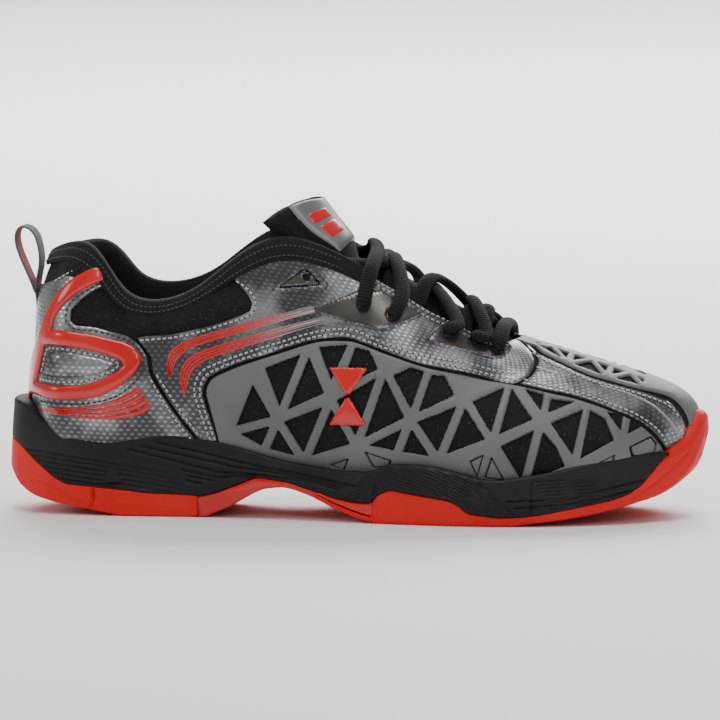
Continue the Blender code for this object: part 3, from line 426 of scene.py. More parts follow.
def finish_piece(name, vertices, faces, looks, body, nodes=(), uv=None, smooth=40):
    """A mesh piece from points on the drawings, with its looks and its place in the frame."""
    mesh = bpy.data.meshes.new(name)
    points = (np.asarray(vertices, float) - SHOE_MIDDLE) * MM
    mesh.from_pydata(points.tolist(), [], faces)
    if uv is not None:
        layer = mesh.uv_layers.new(name="cloth")
        corner_vertices = np.zeros(len(mesh.loops), int)
        mesh.loops.foreach_get("vertex_index", corner_vertices)
        layer.data.foreach_set("uv", np.asarray(uv, np.float32)[corner_vertices].ravel())
    build = bmesh.new()
    build.from_mesh(mesh)
    bmesh.ops.recalc_face_normals(build, faces=build.faces)
    if build.calc_volume(signed=True) < 0:
        bmesh.ops.reverse_faces(build, faces=build.faces)
    build.to_mesh(mesh)
    build.free()
    piece = bpy.data.objects.new(name, mesh)
    bpy.context.scene.collection.objects.link(piece)
    for look in looks if isinstance(looks, (list, tuple)) else [looks]:
        mesh.materials.append(look.material)
    with bpy.context.temp_override(selected_editable_objects=[piece], object=piece,
                                   active_object=piece, selected_objects=[piece]):
        bpy.ops.object.shade_smooth_by_angle(angle=math.radians(smooth))
    if body:
        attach(piece, body)
    if nodes:
        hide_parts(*nodes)
    return piece

# ---- lace
# A black flat-oval woven lace, about a metre long. It runs up the throat from the bar at
# the toe end, crossing under each eyelet row, and is tied off short behind the top pair.
EYELETS = [(154, 94.5), (166, 89.5), (189, 83), (201, 79.5), (211, 75.5)]
THROAT_START = 5.7
CREST = [(130, 113.5), (152, 111), (170, 104), (188, 94.5), (200, 88), (214, 80), (226, 73)]
LACE_WIDTH = 6.6
LACE_THICK = 3.9
LACE_AT_HOLE = 3.8
LACE_UNDER = 4.05
LACE_OVER = 4.6
LACE_CROSS = (3.4, 7.2)
LACE_RING = 12
LACE_OUTWARDS, LACE_CORE = (0.0, 1.0, 0.0), (14.0, 0.0, 40.0)
BAR = [(-12.0, 4.2), (-6.0, 5.4), (0.0, 5.8), (6.0, 5.4), (12.0, 4.4)]
KNOT = {
    -1: [(163, 7, 114.5), (160, -4, 117), (157, -10, 113.5)],
    1: [(166, 7, 110), (166, -4, 110.5), (163, -10, 109)],
}
TAIL = [(5.55, 1.0), (5.5, 0.93), (5.65, 0.74), (6.0, 0.64), (6.4, 0.6), (6.8, 0.58)]


def crest_height(x):
    xs, zs = zip(*CREST)
    return float(np.interp(x, xs, zs))


def eyelet_place(number, side):
    return drawn([EYELETS[number]], side)[0]


def eyelet_frame(number, side):
    """Centre and outward direction of an eyelet."""
    place = eyelet_place(number, side)
    return on_last([place])[0], table_at(LAST_NORMALS, [place])[0]


def edge_key(x):
    keys = np.arange(THROAT_START, TOE_KEY - 0.6, 0.05)
    xs = on_last(np.column_stack([keys, np.ones(len(keys))]))[:, 0]
    return float(np.interp(x, xs, keys))


def lace_route():
    frames = {side: [eyelet_frame(k, side) for k in range(5)] for side in (-1, 1)}
    edges = [edge_key(frames[-1][k][0][0] + (5.0 if k < 4 else -3.0)) for k in range(5)]

    def hole(side, k, outwards):
        centre, normal = frames[side][k]
        spots = [centre - normal * LACE_UNDER, centre, centre + normal * LACE_OVER]
        return spots if outwards else spots[::-1]

    def at_edge(side, key, lift, up=1.0):
        return on_last([(key if side < 0 else KEY_COUNT - key, up)], lift)[0]

    def crossing(x, high):
        return np.array([x, 0.0, crest_height(x) + LACE_CROSS[high]])

    def half(side):
        """One lace end, from the bar up to the knot and its tucked tail."""
        here = side
        points = hole(here, 4, False)
        points.append(at_edge(here, edges[4] - 0.3, -LACE_UNDER, 0.97))
        x = 0.5 * (frames[here][4][0][0] + frames[here][3][0][0]) - 1.0
        points.append(crossing(x, side > 0))
        points.append(at_edge(-here, edges[3] - 0.15, -LACE_UNDER - 0.5, 0.98))
        here = -here
        points += hole(here, 3, True)
        for k in (3, 2, 1):
            x = 0.5 * (frames[here][k][0][0] + frames[here][k - 1][0][0]) + 3.0
            points.append(at_edge(here, edges[k] - 0.08, LACE_OVER))
            points.append(crossing(x, side > 0))
            points.append(at_edge(-here, edges[k - 1] + 0.12, -LACE_UNDER))
            here = -here
            points += hole(here, k - 1, True)
        points.append(at_edge(here, edges[0] - 0.1, LACE_OVER + 1.0))
        points += [np.array([x, here * y, z], float) for x, y, z in KNOT[side]]
        points += [at_edge(-here, key, -LACE_UNDER, up) for key, up in TAIL]
        return points

    bar_x = frames[-1][4][0][0] + 2.0
    bar = [np.array([bar_x, y, crest_height(bar_x) + z]) for y, z in BAR]
    holes = [frames[side][k][0] for side in (-1, 1) for k in range(5)]
    return half(-1)[::-1] + bar + half(1), holes


def wall_faces(count, ring, start=0):
    """Faces that join each of some closed rings of points to the next."""
    faces = []
    for k in range(count - 1):
        for j in range(ring):
            a, b = start + k * ring + j, start + k * ring + (j + 1) % ring
            faces.append((a, b, b + ring, a + ring))
    return faces


def tube_faces(count, ring, start=0):
    """The same, with both ends closed."""
    last = start + (count - 1) * ring
    ends = [tuple(range(start, start + ring))[::-1], tuple(range(last, last + ring))]
    return wall_faces(count, ring, start) + ends


def sweep(points, widths, heights, ups, ring, square=1.0):
    """A closed tube with an oval section along a line, or a flatter one where square < 1."""
    points = np.asarray(points)
    ways = unit(np.gradient(points, axis=0))
    across = unit(np.cross(ups, ways))
    above = np.cross(ways, across)
    turns = np.arange(ring) / ring * 2 * math.pi
    run = run_along(points)
    vertices, uv = [], []
    for k, point in enumerate(points):
        for turn in turns:
            side = math.copysign(abs(math.cos(turn)) ** square, math.cos(turn)) * widths[k] * 0.5
            up = math.copysign(abs(math.sin(turn)) ** square, math.sin(turn)) * heights[k] * 0.5
            vertices.append(point + across[k] * side + above[k] * up)
            uv.append((run[k] * MM, turn / (2 * math.pi)))
    return vertices, tube_faces(len(points), ring), uv


def rope_look():
    look = Look("black_lace", roughness=0.85, sheen_weight=0.04, specular_ior_level=0.3)
    u, v, _ = look.parts(look.place("UV"))
    ribs = u.wave(0.00125)
    weave = (v * (2 * math.pi * 14.0) + u * (math.pi / 0.00125)).do("SINE")
    height = ribs * 0.6 + weave * 0.4
    fibre = look.grain(2500.0)
    shade = look.ramp(height + fibre * 0.8, -0.4, 1.5)
    look.colour(shade, (0.0015, 0.0015, 0.0017), (0.011, 0.011, 0.0115))
    look.bump(height, 0.00025, 0.9)
    return look


def make_lace():
    route, holes = lace_route()
    count = len(route)
    steps = np.arange(0.0, count - 1 + 1e-6, 1.0 / 9)
    line = through(np.array(route), False, np.clip(steps, 0, count - 1))
    gap = np.min(np.linalg.norm(line[:, None] - np.array(holes)[None], axis=2), axis=1)
    free = np.clip((gap - 1.5) / 5.0, 0.0, 1.0)
    free = free * free * (3 - 2 * free)
    widths = LACE_AT_HOLE + (LACE_WIDTH - LACE_AT_HOLE) * free
    heights = LACE_AT_HOLE + (LACE_THICK - LACE_AT_HOLE) * free
    ups = unit(line * LACE_OUTWARDS + LACE_CORE)
    for _ in range(12):
        ups[1:-1] = 0.25 * ups[:-2] + 0.5 * ups[1:-1] + 0.25 * ups[2:]
    vertices, faces, uv = sweep(line, widths, heights, ups, LACE_RING)
    lace = finish_piece("woven_lace", vertices, faces, rope_look(), "shoe", ("lace",),
                        uv, 80)
    path = [tuple((p - SHOE_MIDDLE) * MM) for p in line[::3]]
    for name, tip, before in (("aglet_a", line[0], line[3]), ("aglet_b", line[-1], line[-4])):
        way = (tip - before) / np.linalg.norm(tip - before)
        stations = np.array([tip + way * s for s in (0.3, 0.6, 6.0, 11.5, 12.3)])
        sizes = [3.4, 3.8, 3.8, 3.7, 2.6]
        up = np.tile([0.0, 0.0, 1.0], (5, 1))
        look = Look(name + "_sleeve", roughness=0.25, coat_weight=0.5)
        streak = look.noise(look.place(), 900.0)
        look.colour(streak, (0.01, 0.01, 0.01), (0.03, 0.03, 0.03))
        vertices, faces, uv = sweep(stations, sizes, sizes, up, 16)
        finish_piece(name + "_tip", vertices, faces, look, "shoe", (name,),
                                 uv, 50)


make_lace()

# ---- mesh bootie
# The inner shoe of black air mesh, sewn as a sock and pulled over the last. It shows
# through the cage's open triangles and, padded from behind, forms the collar's outside.
COLLAR_MESH = [
    (22, 99), (36, 96), (42, 99.5), (50, 97), (56, 78), (60, 78), (70, 79), (80, 81), (90, 84),
    (100, 87.5), (105, 90), (106, 93), (104, 96.5), (95, 103.5), (80, 102), (60, 97), (45, 108),
    (34, 121), (22, 112),
]
COLLAR_PUFF = 2.2


def mm_scale(places):
    """Millimetres per key and per unit of height near some places."""
    middle = np.mean(places, axis=0)
    i, _, j, _, _ = weigh([middle])
    a = float(np.mean(STEP_AROUND[:, j[0]][[i[0]]])) * PER_KEY
    return np.array([a, float(STEP_UP[i[0]].mean()) * UPS])


def resample(ring, step, closed=True, corner=38.0):
    """Even points along a line on the flat, curved at its gentle bends."""
    ring = np.asarray(ring, float)
    count = len(ring)
    if closed:
        before, after = np.roll(ring, 1, axis=0), np.roll(ring, -1, axis=0)
    else:
        before = np.concatenate([ring[:1], ring[:-1]])
        after = np.concatenate([ring[1:], ring[-1:]])
    into, out = ring - before, after - ring
    in_length, out_length = np.linalg.norm(into, axis=1), np.linalg.norm(out, axis=1)
    dots = np.sum(into * out, axis=1) / np.maximum(in_length * out_length, 1e-9)
    turn = np.degrees(np.arccos(np.clip(dots, -1, 1)))
    tangent = unit(after - before)
    sharp = turn > corner
    points = []
    for k in range(count if closed else count - 1):
        m = (k + 1) % count
        start, end = ring[k], ring[m]
        size = np.linalg.norm(end - start)
        chord = (end - start) / max(size, 1e-9)
        lead = chord if sharp[k] else tangent[k]
        tail = chord if sharp[m] else tangent[m]
        parts = max(int(round(size / step)), 1)
        for t in np.arange(parts) / parts:
            h = t * t * (3 - 2 * t)
            leading = t * (1 - t) ** 2 * size
            trailing = t * t * (1 - t) * size
            points.append(start * (1 - h) + end * h + lead * leading - tail * trailing)
    if not closed:
        points.append(ring[-1])
    return np.array(points)


def rounded(ring, radius, step=0.6):
    """A closed outline on the flat with its corners rounded off."""
    ring = np.asarray(ring, float)
    points = []
    for k, corner in enumerate(ring):
        before, after = ring[k - 1], ring[(k + 1) % len(ring)]
        into, out = before - corner, after - corner
        a, b = np.linalg.norm(into), np.linalg.norm(out)
        reach = min(radius, 0.4 * a, 0.4 * b)
        start, end = corner + into / a * reach, corner + out / b * reach
        for t in (0.0, 0.25, 0.5, 0.75, 1.0):
            points.append(start * (1 - t) ** 2 + corner * 2 * t * (1 - t) + end * t * t)
    filled = []
    for k, point in enumerate(points):
        following = points[(k + 1) % len(points)]
        parts = max(int(np.linalg.norm(following - point) / step), 1)
        filled += [point + (following - point) * t for t in np.arange(parts) / parts]
    return np.array(filled)


def inside(points, ring):
    """Which flat points lie inside a closed outline."""
    x, y = points[:, 0], points[:, 1]
    result = np.zeros(len(points), bool)
    for (ax, ay), (bx, by) in zip(ring, np.roll(ring, -1, axis=0)):
        if ay == by:
            continue
        crosses = (ay > y) != (by > y)
        result ^= crosses & (x < (bx - ax) * (y - ay) / (by - ay) + ax)
    return result


def nearest(points, ring):
    """Distance from each flat point to the closest of the outline's points."""
    tree = KDTree(len(ring))
    for k, (x, y) in enumerate(ring):
        tree.insert((x, y, 0.0), k)
    tree.balance()
    return np.array([tree.find((x, y, 0.0))[2] for x, y in points])


def mesh_look(name, cell, dark, light, fleck):
    """A knitted air mesh: rows of small oval holes between shiny yarns."""
    look = Look(name, roughness=0.8, sheen_weight=0.05, specular_ior_level=0.3)
    u, v, _ = look.parts(look.place("UV"))
    row = (v / (cell * 0.7)).do("FLOOR")
    stagger = row * (cell * 0.5)
    across = ((u + stagger) * (2 * math.pi / cell)).do("COSINE")
    down = (v * (2 * math.pi / (cell * 0.7))).do("COSINE")
    hole = look.ramp(across * 0.5 - down * 0.6, 0.05, 0.75)
    yarn = look.grain(1600.0)
    glint = look.ramp(yarn, 0.56, 0.72)
    body = look.mix(glint, dark, light)
    patchy = look.ramp(look.grain(1100.0), 0.62, 0.78) * fleck
    body = look.mix(patchy, body, (0.16, 0.16, 0.165))
    look.colour(hole, body, (0.0015, 0.0015, 0.0015))
    look.bump(yarn * 0.5 - hole * 1.4, 0.0004, 0.8)
    return look


def make_bootie():
    columns, rows = KEY_COUNT * 12, 64
    a = np.repeat(np.arange(columns) / 12.0, rows + 1)
    u = np.tile(np.arange(rows + 1) / rows, columns)
    places = np.column_stack([a, u])
    puff = np.zeros(len(places))
    for side in (-1, 1):
        ring = np.array(drawn(COLLAR_MESH, side))
        scale = mm_scale(ring)
        flat = places.copy()
        if side > 0:
            ring[ring[:, 0] < 2, 0] += KEY_COUNT
        flat_ring = resample(ring * scale, 1.5)
        reach = nearest(flat * scale, flat_ring)
        deep = np.clip(reach / 9.0, 0, 1) * inside(flat * scale, flat_ring)
        puff = np.maximum(puff, COLLAR_PUFF * (1 - (1 - deep) ** 2))
    outer = on_last(places, puff)
    inner = on_last(places, -1.4)
    width = rows + 1
    faces = []
    for i in range(columns):
        k = (i + 1) % columns
        for j in range(rows):
            p, q = i * width + j, k * width + j
            faces.append((p, q, q + 1, p + 1))
            m, n = p + len(outer), q + len(outer)
            faces.append((m, m + 1, n + 1, n))
        for j in (0, rows):
            p, q = i * width + j, k * width + j
            faces.append((p, q, q + len(outer), p + len(outer)))
    uv = np.concatenate([cloth_uv(places)] * 2)
    look = mesh_look("black_air_mesh", 0.0014, (0.003, 0.003, 0.0032), (0.022, 0.022, 0.023), 0.5)
    finish_piece("air_mesh_bootie", np.concatenate([outer, inner]), faces, look, "shoe",
                 ("mesh_bootie",), uv, 60)


make_bootie()

# ---- cage
# A matt grey lattice moulded in one thin sheet on each side and welded over the mesh. Most
# of its triangles are open; some by the sole and the toe are closed and set in a groove.
CAGE = [
    (93, 28), (90, 40), (87.5, 49), (86.2, 55), (88.3, 60), (92.3, 62.5), (100, 66), (110, 69.5),
    (120, 73), (130, 76.4), (137, 78), (145, 78.5), (150, 78), (163, 73), (180, 67.5),
    (200, 64), (220, 60.5), (240, 56.5), (250, 54), (260, 50.5), (268, 47.5), (274, 43.5),
    (279, 38.5), (283, 30), (260, 20), (180, 15), (110, 20),
]
JOINTS = {
    "a": (96, 38), "b": (106, 63), "c": (117, 44), "e": (128.5, 26), "f": (140, 53.5),
    "h": (163, 67.5), "i": (151, 33.5), "j": (174, 45.5), "k": (186, 28), "l": (197, 55),
    "m": (208.5, 37), "u": (111, 30), "w": (168, 30),
}
JOINED_CELLS = ["abc", "acu", "cue", "cef", "efi", "fhi", "hij", "jlk", "ijw", "jkw", "klm"]
OPEN_CELLS = [
    [(111.6, 65.8), (127, 72.2), (117.9, 49.6)], [(130.6, 71.1), (137.1, 55.9), (121.4, 48.4)],
    [(134.9, 75.5), (147.3, 76.9), (140.1, 61.5)],
    [(150.6, 76), (156.5, 74.6), (160.1, 66.5), (144.7, 59.4)],
    [(166.7, 64.1), (173.9, 67.7), (179.8, 65.9), (174.2, 50)],
    [(183, 64.7), (188.6, 64.3), (192.6, 56.2), (177.5, 48.8)],
    [(200.3, 53.6), (214.1, 60), (208.2, 40.7)], [(217.3, 59.1), (225.9, 46.6), (211.8, 40.2)],
    [(222.9, 59.3), (231, 57.3), (229.5, 50.4)], [(234, 55.5), (243.9, 54.5), (232.7, 49.5)],
    [(233.7, 45.3), (247.5, 51.3), (242.9, 32.1)],
    [(250.7, 51.1), (257, 47.7), (260.6, 38.7), (246.2, 30.6)],
    [(257.7, 50.5), (264.8, 50), (263.5, 42.7)], [(267.9, 48.3), (273, 45), (266.5, 41.5)],
    [(212.4, 35), (226.5, 42.1), (221, 20.9)],
    [(230.5, 41.5), (236, 35.2), (239.6, 27.1), (224.9, 21)],
]
SUNK_CELLS = [
    [(266.9, 36), (276.7, 40.9), (279, 37.4), (277.4, 32.7), (267.9, 32.1)],
    [(245.9, 25), (261, 32.8), (258.7, 26.8)], [(208.5, 30.6), (205.5, 21.6), (214, 20.6)],
    [(199.3, 28.6), (205.2, 31.5), (202.3, 21.5)], [(139.6, 25.2), (147.7, 28.4), (145.9, 23.2)],
    [(154.4, 31.6), (166, 28), (165.4, 25.5), (158.4, 24.6)],
]
SUNK_GAP = 0.4
STRUT = 3.8
SHEET = (0.35, 1.35)


def polygon_area(ring):
    ring = np.asarray(ring)
    following = np.roll(ring, -1, axis=0)
    return 0.5 * float(np.sum(ring[:, 0] * following[:, 1] - following[:, 0] * ring[:, 1]))


def cell_outline(corners, strut=STRUT):
    """A triangle between three joints, narrowed by half a strut on each edge."""
    corners = [np.array(corner, float) for corner in corners]
    if polygon_area(corners) < 0:
        corners.reverse()
    lengths = [np.linalg.norm(corners[(i + 1) % 3] - corners[(i + 2) % 3]) for i in range(3)]
    middle = sum(c * w for c, w in zip(corners, lengths)) / sum(lengths)
    radius = 2.0 * polygon_area(corners) / sum(lengths)
    keep = 1.0 - 0.5 * strut / radius
    return [tuple(middle + (c - middle) * keep) for c in corners]


def ring_ways(ring):
    """Which way a closed outline runs at each of its points."""
    return unit(np.roll(ring, -1, axis=0) - np.roll(ring, 1, axis=0))


def staggered(low, high, spacing):
    """Points in staggered rows over a rectangle."""
    rows = enumerate(np.arange(low[1], high[1], spacing * 0.866))
    return np.array([(x + (k % 2) * spacing * 0.5, y) for k, y in rows
                     for x in np.arange(low[0], high[0] + spacing, spacing)])


def panel(name, outline, look, levels, holes=(), edge=0.5, spacing=2.0, step=1.0,
          corner=38.0, body="shoe", nodes=(), crown=0.0, soft=6.0, smooth=50):
    """A cut piece of sheet laid over the last, with its outline and holes as places on it.

    Its rim is rounded over the edge distance, and crown swells its middle like padding."""
    outline = np.asarray(outline, float)
    scale = mm_scale(outline)
    rim = resample(outline * scale, step, True, corner)
    if polygon_area(rim) < 0:
        rim = rim[::-1]
    rings = [rim] + [np.asarray(h, float) * scale for h in holes]
    edges, points = [], []
    for ring in rings:
        base = len(points)
        points += [tuple(p) for p in ring]
        edges += [(base + k, base + (k + 1) % len(ring)) for k in range(len(ring))]
    rim_count = len(points)
    all_rim = np.array(points)
    extra = []
    for number, ring in enumerate(rings):
        along = ring_ways(ring)
        turned = np.stack([-along[:, 1], along[:, 0]], axis=1)
        inwards = turned if (polygon_area(ring) > 0) == (number == 0) else -turned
        extra.append(ring + inwards * edge)
    ringed = np.concatenate(extra)
    ringed = ringed[nearest(ringed, all_rim) > edge * 0.8]
    grid = staggered(rim.min(axis=0), rim.max(axis=0), spacing)
    grid = grid[nearest(grid, all_rim) > edge + spacing * 0.45]
    free = np.concatenate([ringed, grid])
    keep = inside(free, rim)
    for ring in rings[1:]:
        keep &= ~inside(free, ring)
    free = free[keep]
    flat = [Vector(p) for p in points] + [Vector(p) for p in free]
    made = delaunay_2d_cdt(flat, edges, [], 0, 1e-4)
    spots = np.array([tuple(p) for p in made[0]])
    triangles = np.array(made[2])
    middles = spots[triangles].mean(axis=1)
    keep = inside(middles, rim)
    for ring in rings[1:]:
        keep &= ~inside(middles, ring)
    triangles = triangles[keep]
    on_rim = np.array([any(o < rim_count for o in came) or not came for came in made[3]])
    places = spots / scale
    base, top = levels
    lift = np.where(on_rim, base + 0.45 * (top - base), top)
    if crown:
        deep = np.clip(nearest(spots, all_rim) / soft, 0, 1)
        lift = lift + np.where(on_rim, 0.0, crown * (1 - (1 - deep) ** 2))
    upper, lower = on_last(places, lift), on_last(places, base)
    count = len(spots)
    sides = {side: None for a, b, c in triangles for side in ((a, b), (b, c), (c, a))}
    border = [pair for pair in sides if (pair[1], pair[0]) not in sides]
    faces = [tuple(t) for t in triangles] + [tuple(t[::-1] + count) for t in triangles]
    faces += [(b, a, a + count, b + count) for a, b in border]
    used = np.unique(triangles)
    remap = -np.ones(2 * count, int)
    keepers = np.concatenate([used, used + count])
    remap[keepers] = np.arange(len(keepers))
    faces = [tuple(int(remap[i]) for i in face) for face in faces]
    vertices = np.concatenate([upper, lower])[keepers]
    uv = np.concatenate([cloth_uv(places)] * 2)[keepers]
    return finish_piece(name, vertices, faces, look, body, nodes, uv, smooth)


def placed_hole(outline, side, radius=0.7, snap=None):
    """A rounded hole's places, for an outline on the turned side drawing."""
    return drawn(rounded(outline, radius), side, snap)


def cage_look():
    look = Look("grey_cage_film", roughness=0.5, coat_weight=0.08, coat_roughness=0.5)
    place = look.place()
    grain = look.noise(place, 1500.0, 2.0)
    cloud = look.noise(place, 28.0, 3.0)
    tone = look.mix(look.ramp(cloud, 0.3, 0.75), (0.118, 0.126, 0.124), (0.15, 0.158, 0.155))
    look.set("Base Color", tone)
    look.set("Roughness", 0.47 + grain * 0.16)
    look.bump(grain, 0.00008, 0.6)
    return look


CAGE_LOOK = cage_look()
SIDES = {"lateral": -1, "medial": 1}


def join_pieces(name, parts, nodes, body="shoe"):
    bpy.ops.object.select_all(action="DESELECT")
    for part in parts:
        part.select_set(True)
    bpy.context.view_layer.objects.active = parts[0]
    bpy.ops.object.join()
    piece = bpy.context.object
    piece.name = name
    piece.data.name = name
    piece.select_set(False)
    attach(piece, body)
    if nodes:
        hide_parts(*nodes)
    return piece


def make_cages():
    cells = [cell_outline([JOINTS[n] for n in names]) for names in JOINED_CELLS] + OPEN_CELLS
    for word, side in SIDES.items():
        holes = [placed_hole(cell, side) for cell in cells + SUNK_CELLS]
        panel(f"cage_{word}_sheet", drawn(CAGE, side), CAGE_LOOK, SHEET, holes,
              nodes=(f"cage_{word}",))
        insets = []
        for k, cell in enumerate(SUNK_CELLS):
            middle = np.mean(cell, axis=0)
            reach = np.linalg.norm(np.array(cell) - middle, axis=1).mean()
            inset = middle + (np.array(cell) - middle) * (1.0 - 2.0 * SUNK_GAP / reach)
            insets.append(panel(f"inset_{word}_{k}", placed_hole(inset, side), CAGE_LOOK,
                                (SHEET[0], SHEET[1] - 0.15), edge=0.3,
                                spacing=1.6, step=0.8, corner=75, body=None))
        join_pieces(f"cage_{word}_insets", insets, ())


make_cages()

# ---- toe cage
# The same grey lattice on top of the toe, in front of the laces: two rows of triangles
# open to the mesh either side of a spine, welded down along the toe bands.
VAMP_EDGE = [
    (227.5, 77.5), (231, 74.8), (240.5, 70.2), (250.5, 66.2), (260, 63.5), (270, 61.2),
    (280.5, 59), (286, 57), (291.5, 51.5), (297, 43.5),
]
VAMP_STATIONS = [230, 238, 246.5, 255, 263.5, 271.5, 279]
SPINE_Y = 2.0
SPINE_HALF = 1.6
VAMP_RIM = 0.8
VAMP_STRUT = 2.8


def from_above(x, y):
    """The place on the last straight below (x, y)."""
    hit, _, index, _ = TREE.ray_cast(Vector((x, y, 150.0)), Vector((0, 0, -1)))
    return place_of_hit(hit, index)


def make_vamp_cage():
    outer = drawn(VAMP_EDGE, -1)
    inner = drawn(VAMP_EDGE, 1)[::-1]
    outline = outer + inner
    throat = [(a, 1.0) for a in np.linspace(TOE_KEY + 0.55, TOE_KEY - 0.55, 9)]
    holes = []
    for side in (-1, 1):
        edge = on_last(drawn(VAMP_EDGE, side))
        rim = [(x, np.interp(x, edge[:, 0], edge[:, 1]) - side * VAMP_RIM) for x in VAMP_STATIONS]
        spine = [(x, SPINE_Y + side * SPINE_HALF) for x in VAMP_STATIONS]
        for k in range(1, len(VAMP_STATIONS) - 1, 2):
            for cell in ([spine[k - 1], spine[k], rim[k - 1]], [rim[k - 1], rim[k + 1], spine[k]],
                         [spine[k], spine[k + 1], rim[k + 1]]):
                narrow = cell_outline(cell, VAMP_STRUT)
                holes.append([from_above(x, y) for x, y in rounded(narrow, 0.6)])
    panel("vamp_cage_sheet", outline + throat, CAGE_LOOK, SHEET, holes,
          nodes=("vamp_cage",))


make_vamp_cage()

# ---- silver panels
# Metallic synthetic leather with a woven print, cut to shape and sewn over the mesh: the
# quarter and eyestay on each side, the heel counter, and the bands beside the toe cage.
QUARTER = [
    (83, 30), (83, 34), (75, 44), (63, 62.5), (62, 69), (56, 77.2), (60, 78), (70, 79), (80, 81),
    (90, 84), (100, 87.5), (105, 90), (106, 93), (104, 96.5), (95, 103.5), (104, 111), (112, 119),
    (120, 124), (152, 112), (170, 102), (190, 91), (205, 83), (221, 79.5), (219, 61.8),
    (200, 65.4), (180, 68.9), (163, 74.4), (150, 79.4), (145, 79.9), (137, 79.4), (130, 77.9),
    (120, 74.4), (110, 70.9), (100, 67.4), (92, 63.9), (87.0, 61), (84.6, 55), (86.1, 49),
    (89.1, 40), (92, 30),
]
BAND = [
    (221, 61.9), (240, 57.9), (250, 55.4), (260, 51.9), (268, 48.9), (275, 44.9), (280.5, 39),
    (283, 30), (297, 34), (296, 42), (290, 49), (285, 55), (280, 57), (270, 60), (250, 65),
    (240, 69), (230, 73.5), (226, 76), (222.5, 79.5),
]
COUNTER = [
    (80, 30), (82, 34), (74, 43.5), (62, 61.7), (60.8, 68), (59.5, 71), (55, 76), (50, 78.5),
    (40, 81), (30, 82), (27.5, 84), (28, 88.5), (31, 92), (36, 96), (42, 99.5), (38, 109),
    (36, 110), (30, 107), (20, 101),
]
FOIL = (0.3, 1.2)
THREAD_PITCH = 2.5
THREAD_LENGTH = 1.95
THREAD_THICK = 0.42


def weave_look(name, dark, light):
    """Metallic film printed with a staggered basket weave of short bright dashes."""
    look = Look(name, coat_roughness=0.12)
    u, v, _ = look.parts(look.place("UV"))
    cell_u, cell_v = 0.0031, 0.0019
    row = (v / cell_v).do("FLOOR")
    shifted = u / cell_u + row * 0.5
    across = shifted - shifted.do("FLOOR")
    up = v / cell_v - row
    bead = (across * math.pi).do("SINE") * (up * math.pi).do("SINE")
    dash = look.ramp(bead, 0.55, 0.8)
    place = look.place()
    cloud = look.ramp(look.noise(place, 42.0, 3.0), 0.38, 0.68)
    speck = look.noise(place, 700.0, 2.0)
    strength = 0.22 + cloud * 0.6
    bright = dash * strength * (0.55 + speck * 0.9)
    base = look.mix(cloud, dark, tuple(0.55 * d + 0.45 * b for d, b in zip(dark, light)))
    look.colour(bright, base, light)
    look.set("Metallic", 0.55 + dash * 0.3)
    look.set("Roughness", 0.42 - dash * 0.12 - cloud * 0.06)
    look.set("Coat Weight", 0.2 + cloud * 0.25)
    look.bump(bead * 0.6 + speck * 0.25, 0.00022, 0.55)
    return look


SILVER = weave_look("silver_weave_film", (0.05, 0.053, 0.057), (0.56, 0.57, 0.58))


def thread_look(name, colour, other):
    look = Look(name, roughness=0.5, sheen_weight=0.2)
    twist = look.grain(3500.0)
    look.colour(look.ramp(twist, 0.35, 0.7), colour, other)
    look.bump(twist, 0.0001, 0.6)
    return look


PALE_THREAD = thread_look("pale_thread", (0.28, 0.28, 0.29), (0.62, 0.62, 0.63))
DARK_THREAD = thread_look("dark_thread", (0.012, 0.012, 0.013), (0.05, 0.05, 0.052))
BLACK_HOLE = Look("needle_hole", roughness=0.95)
BLACK_HOLE.set("Base Color", BLACK_HOLE.mix(
    BLACK_HOLE.noise(BLACK_HOLE.place(), 900.0), (0.002, 0.002, 0.002), (0.012, 0.012, 0.012)))


def beside(path, distance):
    """A line of places moved sideways over the last, to its left as it is walked."""
    path = np.asarray(path, float)
    scale = mm_scale(path)
    flat = path * scale
    along = unit(np.gradient(flat, axis=0))
    return (flat + np.stack([-along[:, 1], along[:, 0]], axis=1) * distance) / scale


def smooth_path(outline, side, distance=0.0, closed=False, step=1.2):
    """A sewing line on one side: an outline on the drawing, curved and moved sideways."""
    places = np.array(drawn(outline, side))
    scale = mm_scale(places)
    line = resample(places * scale, step, closed, 60.0) / scale
    return beside(line, distance if side < 0 else -distance)


